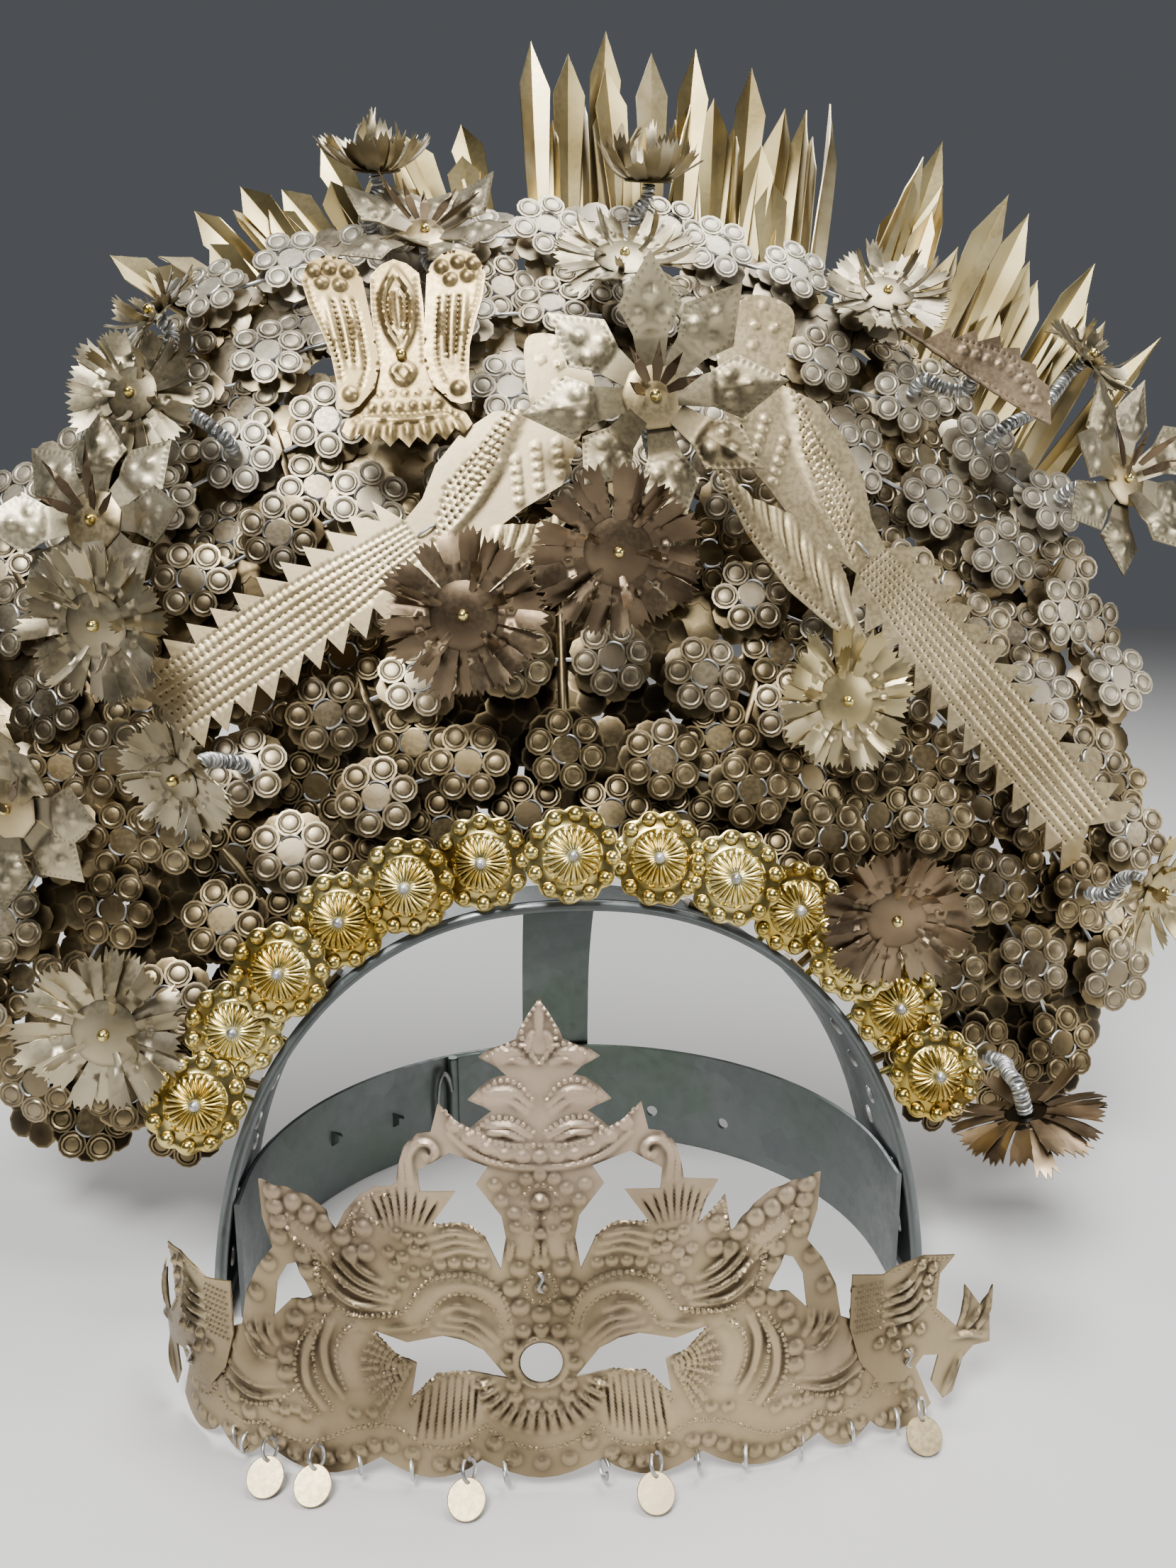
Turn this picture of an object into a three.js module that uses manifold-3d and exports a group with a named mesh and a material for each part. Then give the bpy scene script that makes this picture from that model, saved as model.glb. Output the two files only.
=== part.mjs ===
// Ceremonial fan headdress standing on a table, with its brow plate standing in front of it.
// Millimetres, Z up, X to the viewer's right, Y to the back.
import * as THREE from 'three';
import { mergeVertices } from 'three/addons/utils/BufferGeometryUtils.js';
import Module from 'manifold-3d';

const wasm = await Module();
wasm.setup();
const rad = THREE.MathUtils.degToRad;
const vec = (x, y, z) => new THREE.Vector3(x, y, z);

// Gap that keeps touching pieces apart, and the smallest detail that joined pieces keep
const seat = 0.3;
const fine = 0.06;

// Block under the table's surface that trims the arch's feet
const table = { wide: 400, deep: 40 };

// Head frame: arch band, crown strip and back straps
const arch = {
  halfWidth: 84,
  height: 98,
  power: 2.3,
  lean: rad(10),
  depth: 38,
  sheet: 1.2,
  steps: 35,
  drop: 9,
};
const rim = { inside: 0.7, outside: 1.9, front: 0.7, back: 1.9 };
const strap = {
  halfWidth: 80,
  start: 5,
  bend: 15,
  reachRight: 86.6,
  reachLeft: 88.4,
  height: 30,
  sheet: 1.2,
  steps: 18,
};
const strapEnd = { right: 113, left: 82, loop: 3.2, loopIn: 0.9 };
const crown = { width: 20, sheet: 1.2, under: 0.8, lap: 16, steps: 9 };
const crownBend = { back: 14, fall: 9, shoulder: 58, shoulderIn: 5, straightFrom: 36, foot: 3 };

// Flower field: a fan surface that leans back, with rows of blossoms that follow the arch
const fan = {
  radius: 160,
  centreZ: 118,
  lean: 0.3,
  base: -6,
  curve: 25,
  lowest: 50,
  tiltFrom: 0.5,
  tiltTop: rad(52),
  tiltSide: rad(18),
};
const rows = { count: 7, start: 34, step: 22.5, pitch: 24.6, samples: 720 };
const blossom = { radius: 10.8, depth: 8, crown: 1.2, lobes: 6, notch: 0.22 };
const rowWire = { radius: 1.1, sides: 3, behind: 3.2, merge: 4, sameTurn: 0.012 };
const rib = { radius: 1.6, sides: 3, behind: 6.6, back: 20, rise: 9, facets: [5, 9, 13, 17, 21, 25, 29] };
const pad = { width: 8, length: 7, thick: 1.6 };

// Rim rosettes
const rosette = { count: 13, first: rad(28), radius: 11.6, thick: 1.5, lobes: 12, notch: 0.14 };
const rosetteDome = { front: 2.8, rear: 1.12 };
const rosettePin = { head: 13.2, out: 8.4, near: -5, far: -2, back: 11, sunk: 0.4, radius: 0.9 };

// Crest combs on a plane that leans with the fan
const crest = { plane: 29.5, centre: 121, radius: 159, strip: 8, thick: 1.8, steps: 8 };
const crestCombs = [
  { name: 'crest_right', from: 28, to: 58, leaves: 10, length: 70, splay: 0.62 },
  { name: 'crest_centre', from: 60, to: 92, leaves: 11, length: 65, splay: 0.35 },
  { name: 'crest_left', from: 94, to: 127, leaves: 9, length: 37, splay: 1.7 },
];
const leafForm = { foot: 2.4, shoulder: 4.9, shoulderAt: 0.77, sunk: 1, thick: 0.8, inset: 0.1 };
const leafSway = { mean: 0.9, swing: 0.1, beat: 2.4, phase: 1, leanIn: rad(4), leanOut: rad(-2) };

// Springs under flowers and birds
const spring = { radius: 1.8, sides: 4, rise: 7, riseShare: 0.3, seek: 8 };

// Fringed flowers on springs: place of the head, direction it faces, radius
const quiverRows = [
  { x: 11, y: 19, z: 180, nx: 0, ny: -1, nz: -0.1, radius: 20 },
  { x: -24, y: 18, z: 166, nx: -0.15, ny: -1, nz: 0.05, radius: 20 },
  { x: 66, y: 21, z: 145, nx: 0.15, ny: -1, nz: 0.1, radius: 18 },
  { x: 74, y: 1, z: 97, nx: -0.1, ny: -1, nz: -0.1, radius: 18 },
  { x: 106, y: -5, z: 50, nx: 0.3, ny: -0.1, nz: -0.95, radius: 19 },
  { x: -106, y: 5, z: 74, nx: -0.1, ny: -1, nz: 0.05, radius: 20 },
  { x: -106, y: 23, z: 164, nx: -0.3, ny: -1, nz: -0.1, radius: 19 },
  { x: -101, y: 72, z: 238, nx: -0.6, ny: -0.4, nz: 0.6, radius: 16 },
  { x: -46, y: 92, z: 278, nx: 0, ny: -0.35, nz: 0.9, radius: 17 },
  { x: 27, y: 92, z: 277, nx: 0, ny: -0.3, nz: 0.95, radius: 17 },
  { x: 92, y: 84, z: 248, nx: 0, ny: -0.7, nz: 0.7, radius: 19 },
  { x: 153, y: 88, z: 233, nx: 0.5, ny: -0.5, nz: 0.6, radius: 15 },
  { x: -88, y: 12, z: 131, nx: -0.5, ny: -0.8, nz: -0.3, radius: 15 },
  { x: 147, y: 18, z: 97, nx: 0.5, ny: -0.8, nz: -0.2, radius: 17 },
  { x: 18, y: 70, z: 253, nx: 0, ny: -0.6, nz: 0.7, radius: 20 },
  { x: -103, y: 55, z: 217, nx: -0.3, ny: -0.9, nz: 0.25, radius: 17 },
];
const fringe = { strips: 9, notch: 0.34, thick: 1.2, cup: 2.4, dark: 4 };

// Star flowers with pointed petals
const starRows = [
  { x: 20.5, y: 31, z: 215, nx: 0.05, ny: -1, nz: 0.1, radius: 31 },
  { x: -33, y: 82, z: 260.2, nx: 0, ny: -0.6, nz: 0.75, radius: 24 },
  { x: -112, y: 47, z: 187, nx: -0.3, ny: -0.9, nz: 0.2, radius: 27 },
  { x: 152, y: 61, z: 198, nx: 0.4, ny: -0.85, nz: 0.3, radius: 28 },
  { x: -133, y: 33, z: 120, nx: -0.3, ny: -0.9, nz: 0, radius: 25 },
];
const star = { petals: 8, shoulder: 0.74, notch: 0.36, thick: 1.2, cup: 3 };

// Birds and the folded leaf, cut from sheet
const birdSheet = 1;
const wingedBird = { x: -38.5, y: 52, z: 229, nx: 0, ny: -0.95, nz: 0.3, roll: rad(4) };
const wingedBirdHalf = {
  crown: [[0, 21.4], [3, 20.2], [6, 17.5]],
  shoulder: [[7.8, 16], [9, 18.5]],
  wingTop: [[12, 21], [16, 21.8], [20, 20]],
  wingEdge: [[22.2, 15.5], [18.5, 3], [15.8, -10]],
  wingTip: [[16, -16.6], [11, -16], [7, -11.5]],
  tailSide: [[10.4, -14], [15.6, -20.5]],
  tailScallops: [[13.4, -23.5], [11.2, -22], [8.9, -24.8], [6.7, -22.8], [4.5, -25.6], [2.2, -23.4]],
  tailMiddle: [[0, -26]],
};
const tail = { teeth: 14, pitch: 6.6, step: 1, halfWidth: 13.4, tooth: 5.4, end: 0.63 };
const tailedBirdRows = [
  { name: 'tailed_bird_left', tail: [-100, 33, 141], head: [0, 46, 206], lobe: -1 },
  { name: 'tailed_bird_right', tail: [137, 29, 107], head: [45, 51, 216], lobe: 1 },
];
// Body beyond the tail, as shares of the length and widths from the axis.
// One side is broad and ends in the head, the other is plain with a lobe beside it.
const birdBody = {
  tie: 0.67,
  tilt: 0.25,
  broad: [[0.645, 5], [0.7, 7], [0.76, 12], [0.84, 15], [0.92, 15], [0.985, 10.5]],
  head: [[1.02, 19], [1.055, 25], [1.09, 24.5], [1.13, 19], [1.13, 9], [1.1, 4]],
  plain: [[0.645, 5], [0.7, 7], [0.78, 9], [0.86, 8.5], [0.95, 9], [1, 5]],
  lobe: [
    [0.53, 14.5], [0.6, 19], [0.7, 21.5], [0.82, 20.5], [0.97, 15],
    [0.86, 13.5], [0.79, 8], [0.7, 5.5], [0.64, 8.5], [0.6, 12],
  ],
};
const foldedLeaf = { x: 111, y: 66, z: 225, nx: 0.2, ny: -0.75, nz: 0.6 };
const leafFold = { angle: rad(30), roll: rad(48), lap: 0.3 };
const leafEdge = {
  length: 48,
  half: 13,
  teeth: 7,
  tooth: 2.6,
  first: 0.08,
  point: 0.04,
  span: 0.76,
  from: 0.22,
  swell: 0.7,
};

// Brow plate: right half of the outline by feature, across and up from the middle of the lower edge
const brow = { x: -11.2, y: -54, z: 2.6, lean: rad(3.6), yaw: rad(-3.6), sheet: 0.9 };
const browBend = { radius: 220, bendFrom: 51, leftEnd: 45, rightEnd: 200, step: 0.5, facet: 11, reach: 104 };
const browBlock = { below: 10, height: 130, front: 90, depth: 120 };
const browOutline = {
  finialTip: [[0, 98], [2, 95], [3.7, 92], [4.4, 90]],
  upperLeaf: [[9.3, 88.2], [11.3, 86.6], [8, 84.8], [6.1, 83]],
  lowerLeaf: [[8.6, 82.5], [11.3, 80.6], [13.5, 78.2], [10.6, 77], [9, 76]],
  horn: [[13, 72.8], [15.5, 74.2], [19.2, 77.2], [20.6, 71.6]],
  scroll: [[23.3, 71.2], [25.7, 69], [27, 64.5], [27.5, 61.4]],
  crest: [[34.3, 60.6], [32.2, 57], [30.4, 51.8]],
  spike: [[35.8, 57.4], [37, 50]],
  wing: [[41.6, 54.7], [45.3, 57.3], [49.7, 58.6], [55.5, 59.7], [55, 52], [53, 46]],
  strut: [[56.6, 41.4], [59.6, 35.4], [61, 28]],
  end: [[70, 24], [78, 16], [84, 3]],
};
// A rounded leaf stands in place of the crest and the spike on the left half
const browLeft = {
  crest: [[28.5, 60.4], [31.8, 60.2], [35, 58.2], [38, 54.6]],
  spike: [[39.8, 51]],
};
const browScallops = [
  { from: 84, to: 68.7, edge: 2.6, drop: 3.2 },
  { from: 68.7, to: 56.7, edge: 3.2, drop: 3.9 },
  { from: 56.7, to: 32, edge: 3.4, drop: 4.6 },
  { from: 32, to: 11.8, edge: 3.6, drop: 3.8 },
  { from: 11.8, to: -11.8, edge: 4.1, drop: 3.9 },
];
const scallopSteps = 4;
const browHoles = {
  besideVase: [
    [17.1, 67.7], [9.8, 65], [12.1, 61.4], [7.4, 55.1], [6.6, 50.8], [7.7, 44.2], [10.6, 50.7], [14, 53.5],
    [20.7, 53.3], [16.1, 59.9], [23, 59.6], [23.3, 63.9],
  ],
  eye: [
    [6.5, 21.5], [11.3, 27.6], [14.8, 29.4], [19, 30.3], [26.1, 28.5], [32.5, 30.5], [29, 26.4], [24.3, 24.1],
    [25.5, 17], [20.5, 22.2], [14.1, 23.1],
  ],
  side: [[48.2, 43.4], [50.1, 42.7], [52.4, 38.7], [53.4, 31.4], [49.5, 35.4], [44.9, 36.7]],
};
const browCentreHole = { up: 24.9, radius: 4.1, sides: 14 };
const browWing = {
  band: [[62.8, 37.2], [69.9, 35.8]],
  wing: [[72.8, 36.9], [79.8, 37.9], [87.8, 36.2], [84, 33], [83.5, 25.4], [89.3, 19.6]],
  fork: [[91, 28.7], [95.7, 22.7], [99.1, 26.4], [98.4, 20.1], [98.9, 13.4], [94.1, 14]],
  stem: [[91.2, 12], [88.8, 5], [86.2, 4.2], [83, 9], [84.6, 14.6], [80.6, 15.6]],
  body: [[76, 11], [70, 12], [65, 18], [62.5, 26]],
};

// Drops in front of the lower edge
const dropRows = [{ across: -55 }, { across: -45 }, { across: -14.5 }, { across: 22 }, { across: 80 }];
const drop = { radius: 3.7, thick: 0.8, tilt: rad(45), ahead: 5.12, clear: 0.02 };
const jumpRing = { radius: 2, wire: 0.4, lap: 0.5 };

// Materials
const looks = {
  steel: { color: 0x848e90, roughness: 0.48, metalness: 0.9 },
  gold: { color: 0xc79f3c, roughness: 0.26, metalness: 1 },
  dusty: { color: 0x8f836b, roughness: 0.6, metalness: 0.75 },
  bronze: { color: 0x6a5d48, roughness: 0.5, metalness: 0.85 },
  plate: { color: 0x9c866a, roughness: 0.62, metalness: 0.7 },
};
const materials = Object.fromEntries(
  Object.entries(looks).map(([name, look]) => [name, new THREE.MeshStandardMaterial({ name, ...look })]),
);

// Solids: joining, cutting and placing
function toSolid(geometry) {
  const bare = geometry.index ? geometry.toNonIndexed() : geometry.clone();
  bare.deleteAttribute('normal');
  bare.deleteAttribute('uv');
  const merged = mergeVertices(bare, 1e-4);
  const mesh = new wasm.Mesh({
    numProp: 3,
    vertProperties: merged.attributes.position.array,
    triVerts: new Uint32Array(merged.index.array),
  });
  return new wasm.Manifold(mesh);
}

function toGeometry(solid) {
  const mesh = solid.getMesh();
  const indexed = new THREE.BufferGeometry();
  indexed.setAttribute('position', new THREE.BufferAttribute(new Float32Array(mesh.vertProperties), 3));
  indexed.setIndex(new THREE.BufferAttribute(new Uint32Array(mesh.triVerts), 1));
  const geometry = indexed.toNonIndexed();
  geometry.computeVertexNormals();
  return geometry;
}

function join(geometries) {
  return toGeometry(wasm.Manifold.union(geometries.map(toSolid)).simplify(fine));
}

function cut(body, tools) {
  return toGeometry(toSolid(body).subtract(wasm.Manifold.union(tools.map(toSolid))).simplify(fine));
}

function common(first, second) {
  return toGeometry(toSolid(first).intersect(toSolid(second)).simplify(fine));
}

function facing(position, normal, roll = 0) {
  const z = normal.clone().normalize();
  const up = Math.abs(z.z) > 0.97 ? vec(0, 1, 0) : vec(0, 0, 1);
  const x = up.cross(z).normalize();
  const y = z.clone().cross(x);
  const turn = new THREE.Matrix4().makeBasis(x, y, z).multiply(new THREE.Matrix4().makeRotationZ(roll));
  return turn.setPosition(position);
}

function shapeOf(points) {
  return new THREE.Shape(points.map(([x, y]) => new THREE.Vector2(x, y)));
}

function sheetOf(points, depth, holes = []) {
  const shape = shapeOf(points);
  holes.forEach((hole) => shape.holes.push(shapeOf(hole)));
  return new THREE.ExtrudeGeometry(shape, { depth, bevelEnabled: false });
}

// A path that goes straight from point to point, so that a wire meets each point exactly
class PointPath extends THREE.Curve {
  constructor(points) {
    super();
    this.points = points;
  }

  getPoint(t, target = vec(0, 0, 0)) {
    const last = this.points.length - 1;
    const start = Math.min(Math.floor(t * last + 1e-9), last - 1);
    return target.lerpVectors(this.points[start], this.points[start + 1], t * last - start);
  }

  getPointAt(t, target) {
    return this.getPoint(t, target);
  }

  getTangentAt(t) {
    const at = Math.round(t * (this.points.length - 1));
    const before = this.points[Math.max(0, at - 1)];
    const after = this.points[Math.min(this.points.length - 1, at + 1)];
    return after.clone().sub(before).normalize();
  }
}

function wireAlong(points, radius, sides) {
  const ring = [];
  for (let i = 0; i < sides; i += 1) {
    const a = (2 * Math.PI * (i + 0.5)) / sides;
    ring.push([radius * Math.cos(a), radius * Math.sin(a)]);
  }
  const extrudePath = new PointPath(points);
  const steps = points.length - 1;
  return new THREE.ExtrudeGeometry(shapeOf(ring), { extrudePath, steps, bevelEnabled: false });
}

function ribbon(points, thick) {
  const left = [];
  const right = [];
  points.forEach(([x, y], i) => {
    const before = points[Math.max(0, i - 1)];
    const after = points[Math.min(points.length - 1, i + 1)];
    const along = new THREE.Vector2(after[0] - before[0], after[1] - before[1]).normalize();
    left.push([x - along.y * thick * 0.5, y + along.x * thick * 0.5]);
    right.push([x + along.y * thick * 0.5, y - along.x * thick * 0.5]);
  });
  return [...right, ...left.reverse()];
}

// A round plate facing Z whose edge follows a table of shares of its radius
function roundPlate(radius, thick, profile, repeats, raise) {
  const plate = new THREE.CylinderGeometry(radius, radius, thick, profile.length * repeats);
  plate.rotateX(Math.PI / 2);
  const at = plate.attributes.position;
  for (let i = 0; i < at.count; i += 1) {
    const reach = Math.hypot(at.getX(i), at.getY(i));
    const turn = (Math.atan2(at.getY(i), at.getX(i)) + 2.5 * Math.PI) % (2 * Math.PI);
    const step = Math.round((turn / (2 * Math.PI)) * profile.length * repeats);
    const share = profile[step % profile.length];
    at.setX(i, at.getX(i) * share);
    at.setY(i, at.getY(i) * share);
    at.setZ(i, at.getZ(i) + (reach > 0.01 ? raise.edge : at.getZ(i) > 0 ? raise.front : raise.rear));
  }
  return plate;
}

// A star-shaped sheet facing Z, cupped to the front, whose edge follows a table of shares of its radius
function starPlate(radius, thick, profile, repeats, cup) {
  const points = [];
  const count = profile.length * repeats;
  for (let i = 0; i < count; i += 1) {
    const reach = radius * profile[i % profile.length];
    const turn = (2 * Math.PI * i) / count;
    points.push([reach * Math.cos(turn), reach * Math.sin(turn)]);
  }
  const plate = sheetOf(points, thick).translate(0, 0, -thick / 2);
  const at = plate.attributes.position;
  const inner = Math.min(...profile) ** 2;
  for (let i = 0; i < at.count; i += 1) {
    const share = (at.getX(i) ** 2 + at.getY(i) ** 2) / radius ** 2;
    at.setZ(i, at.getZ(i) + cup * (share - inner));
  }
  return plate;
}

const headdress = new THREE.Group();
const assembly = new THREE.Group();
headdress.add(assembly);

function add(name, geometry, look, holder = assembly) {
  const mesh = new THREE.Mesh(geometry, materials[look]);
  mesh.name = name;
  holder.add(mesh);
  return mesh;
}

// Arch: half outline of a band that leans back, with a rolled rim at its front edge
function archCurve(turn) {
  const c = Math.cos(turn);
  const s = Math.sin(turn);
  const x = arch.halfWidth * Math.sign(c) * Math.abs(c) ** (2 / arch.power);
  return new THREE.Vector2(x, arch.height * Math.abs(s) ** (2 / arch.power));
}

function archOut(turn) {
  const along = archCurve(turn + 0.01).sub(archCurve(turn - 0.01)).normalize();
  return new THREE.Vector2(along.y, -along.x);
}

function archCorner(step, off) {
  const turn = (Math.PI * step) / arch.steps;
  if (step === 0) return [arch.halfWidth + off, 0];
  if (step === arch.steps) return [-arch.halfWidth - off, 0];
  const at = archCurve(turn).addScaledVector(archOut(turn), off);
  return [at.x, at.y];
}

// Middle of one flat facet of the band's outer face, with its outward direction
function archFacet(step, off, back) {
  const a = archCorner(step, arch.sheet);
  const b = archCorner(step + 1, arch.sheet);
  const out = new THREE.Vector2(b[1] - a[1], a[0] - b[0]).normalize();
  const flat = new THREE.Vector2((a[0] + b[0]) / 2, (a[1] + b[1]) / 2).addScaledVector(out, off);
  return { point: leaned(flat.x, flat.y, back), out: leaned(out.x, out.y, 0) };
}

function leaned(x, up, back) {
  const s = Math.sin(arch.lean);
  const c = Math.cos(arch.lean);
  return vec(x, up * s + back * c, up * c - back * s);
}

function archHoop(inside, outside, front, back) {
  const outer = [[arch.halfWidth + outside, -arch.drop]];
  const inner = [[arch.halfWidth - inside, -arch.drop]];
  for (let step = 0; step <= arch.steps; step += 1) {
    outer.push(archCorner(step, outside));
    inner.push(archCorner(step, -inside));
  }
  outer.push([-arch.halfWidth - outside, -arch.drop]);
  inner.push([-arch.halfWidth + inside, -arch.drop]);
  const hoop = sheetOf([...outer, ...inner.reverse()], front + back);
  hoop.translate(0, 0, -back);
  hoop.rotateX(Math.PI / 2 - arch.lean);
  return hoop;
}

const floor = new THREE.BoxGeometry(table.wide, table.wide, table.deep).translate(0, 0, -table.deep / 2);
const bandHoop = archHoop(0, arch.sheet, 0, arch.depth);
const rimHoop = archHoop(rim.inside, rim.outside, rim.front, rim.back);
add('front_arch', cut(join([bandHoop, rimHoop]), [floor]), 'steel');

// Crown strip from under the arch's top to the outside of the right back strap
const crownTop = arch.height - crown.under - crown.sheet / 2;
const crownStart = leaned(0, crownTop, arch.depth - crown.lap);
const crownEdge = leaned(0, crownTop, arch.depth);
const crownBack = strap.reachRight + strap.sheet / 2 + seat + crown.sheet / 2;
const crownSide = new THREE.SplineCurve([
  new THREE.Vector2(crownEdge.y, crownEdge.z),
  new THREE.Vector2(crownEdge.y + crownBend.back, crownEdge.z - crownBend.fall),
  new THREE.Vector2(crownBack - crownBend.shoulderIn, crownBend.shoulder),
  new THREE.Vector2(crownBack, crownBend.straightFrom),
]);
const crownCurve = crownSide.getPoints(crown.steps).map((point) => [point.x, point.y]);
const crownPoints = [[crownStart.y, crownStart.z], ...crownCurve, [crownBack, crownBend.foot]];
const crownStrip = sheetOf(ribbon(crownPoints, crown.sheet), crown.width);
crownStrip.translate(0, 0, -crown.width / 2);
crownStrip.applyMatrix4(new THREE.Matrix4().makeBasis(vec(0, 1, 0), vec(0, 0, 1), vec(1, 0, 0)));
add('crown_strip', crownStrip, 'steel');

// Back straps: from the inside of each leg round behind the head, overlapping there
function strapPoints(side, reach, end) {
  const points = [[side * strap.halfWidth, strap.start]];
  for (let i = 0; i <= strap.steps; i += 1) {
    const turn = rad((end * i) / strap.steps);
    const across = side * strap.halfWidth * Math.cos(turn);
    points.push([across, strap.bend + (reach - strap.bend) * Math.sin(turn)]);
  }
  return points;
}

const rightLine = strapPoints(1, strap.reachRight, strapEnd.right);
const rightStrap = sheetOf(ribbon(rightLine, strap.sheet), strap.height);
const loopAt = rightLine[rightLine.length - 1];
const loop = new THREE.CylinderGeometry(strapEnd.loop / 2, strapEnd.loop / 2, strap.height, 8);
loop.rotateX(Math.PI / 2).translate(loopAt[0], loopAt[1] - strapEnd.loopIn, strap.height / 2);
add('back_strap_right', join([rightStrap, loop]), 'steel');
const leftLine = strapPoints(-1, strap.reachLeft, strapEnd.left);
add('back_strap_left', sheetOf(ribbon(leftLine, -strap.sheet), strap.height), 'steel');

// Fan surface: the place and facing of a flower at a given width and height
function fanSpot(x, z) {
  const out = new THREE.Vector2(x, z - fan.centreZ);
  const share = out.length() / fan.radius;
  const rise = THREE.MathUtils.smoothstep(share, fan.tiltFrom, 1);
  const upward = Math.max(0, out.y / Math.max(out.length(), 1e-6)) ** 2;
  const tilt = rise * (fan.tiltSide + (fan.tiltTop - fan.tiltSide) * upward);
  out.normalize();
  const normal = vec(0, -1, fan.lean).normalize().multiplyScalar(Math.cos(tilt));
  normal.addScaledVector(vec(out.x, 0, out.y), Math.sin(tilt)).normalize();
  return { point: vec(x, fan.lean * z + fan.base + fan.curve * share * share, z), normal };
}

function rowPoint(row, turn) {
  const off = rows.start + rows.step * row;
  return new THREE.Vector2((arch.halfWidth + off) * Math.cos(turn), (arch.height + off) * Math.sin(turn));
}

// Blossoms of one row, evenly spaced along the part of the row that lies inside the fan
function rowBlossoms(row) {
  const samples = [];
  let length = 0;
  for (let i = 0; i <= rows.samples; i += 1) {
    const turn = (Math.PI * i) / rows.samples;
    const at = rowPoint(row, turn);
    const inside = Math.hypot(at.x, at.y - fan.centreZ) <= fan.radius && at.y >= fan.lowest;
    if (!inside) continue;
    if (samples.length) length += at.distanceTo(samples[samples.length - 1].at);
    samples.push({ turn, at, length });
  }
  const count = Math.round(length / rows.pitch) + 1;
  const blossoms = [];
  for (let i = 0; i < count; i += 1) {
    const want = (length * i) / (count - 1);
    const near = samples.reduce((a, b) => (Math.abs(b.length - want) < Math.abs(a.length - want) ? b : a));
    blossoms.push({ row, turn: near.turn, ...fanSpot(near.at.x, near.at.y), roll: rad(17 * i + 11 * row) });
  }
  return blossoms;
}

const ribTurns = rib.facets.map((facet) => (Math.PI * (facet + 0.5)) / arch.steps);
const blossoms = [];
for (let row = 0; row < rows.count; row += 1) blossoms.push(...rowBlossoms(row));
blossoms.forEach((one) => {
  const gaps = ribTurns.map((turn) => Math.abs(turn - one.turn));
  one.sector = gaps.indexOf(Math.min(...gaps));
});

function blossomForm(one) {
  const form = new THREE.ConeGeometry(blossom.radius, blossom.depth, 2 * blossom.lobes);
  form.rotateX(-Math.PI / 2).translate(0, 0, -blossom.depth / 2);
  const at = form.attributes.position;
  for (let i = 0; i < at.count; i += 1) {
    const turn = Math.atan2(at.getY(i), at.getX(i));
    const edge = Math.hypot(at.getX(i), at.getY(i)) > 1;
    const share = 1 - blossom.notch * (0.5 - 0.5 * Math.cos(blossom.lobes * turn));
    at.setX(i, at.getX(i) * share);
    at.setY(i, at.getY(i) * share);
    if (!edge && at.getZ(i) > -1) at.setZ(i, blossom.crown);
  }
  form.applyMatrix4(facing(one.point, one.normal, one.roll));
  return form;
}

// Crest plane: across, up along the lean, and out to the front
const crestLean = Math.atan(fan.lean);
const crestTurn = new THREE.Matrix4().makeRotationX(Math.PI / 2 - crestLean).setPosition(0, crest.plane, 0);
const crestBack = crestTurn.clone().invert();

// Sprays: a rib on the arch, cross wires and the blossoms of one sector
function spray(sector) {
  const turn = ribTurns[sector];
  const foot = archFacet(rib.facets[sector], seat + pad.thick / 2, rib.back);
  const pieces = [];
  const footPad = new THREE.BoxGeometry(pad.width, pad.length, pad.thick);
  const backward = leaned(0, 0, 1);
  const sideward = backward.clone().cross(foot.out);
  footPad.applyMatrix4(new THREE.Matrix4().makeBasis(sideward, backward, foot.out).setPosition(foot.point));
  pieces.push(footPad);
  const ribPoints = [foot.point, foot.point.clone().addScaledVector(foot.out, rib.rise)];
  for (let row = 0; row < rows.count; row += 1) {
    const mine = blossoms.filter((one) => one.sector === sector && one.row === row);
    if (!mine.length) continue;
    const flat = rowPoint(row, turn);
    const spot = fanSpot(flat.x, flat.y);
    const crossing = spot.point.addScaledVector(spot.normal, -rib.behind);
    const line = mine.map((one) => ({
      turn: one.turn,
      point: one.point.clone().addScaledVector(one.normal, -rowWire.behind),
    }));
    const onRib = mine.filter((one) => Math.abs(one.turn - turn) < rowWire.sameTurn);
    const met = onRib.find((one) => one.point.distanceTo(spot.point) < rib.behind + rowWire.merge);
    if (met) crossing.copy(met.point).addScaledVector(met.normal, -rib.behind);
    else line.push({ turn, point: crossing });
    ribPoints.push(crossing);
    line.sort((a, b) => a.turn - b.turn);
    const points = line.map((one) => one.point);
    if (points.length > 1) pieces.push(wireAlong(points, rowWire.radius, rowWire.sides));
    mine.forEach((one) => pieces.push(blossomForm(one)));
  }
  const last = ribPoints[ribPoints.length - 1].clone().applyMatrix4(crestBack);
  const lean = Math.atan2(last.y - crest.centre, last.x);
  const reachesCrest = crestCombs.some((comb) => lean > rad(comb.from) && lean < rad(comb.to));
  if (reachesCrest) {
    const endUp = crest.centre + crest.radius * Math.sin(lean);
    const end = vec(crest.radius * Math.cos(lean), endUp, seat + pad.thick / 2);
    const endPad = new THREE.BoxGeometry(pad.width, pad.length, pad.thick).translate(end.x, end.y, end.z);
    pieces.push(endPad.applyMatrix4(crestTurn));
    ribPoints.push(end.applyMatrix4(crestTurn));
  }
  pieces.push(wireAlong(ribPoints, rib.radius, rib.sides));
  return join(pieces);
}

ribTurns.forEach((turn, sector) => add('spray_' + (sector + 1), spray(sector), 'dusty'));

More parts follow.
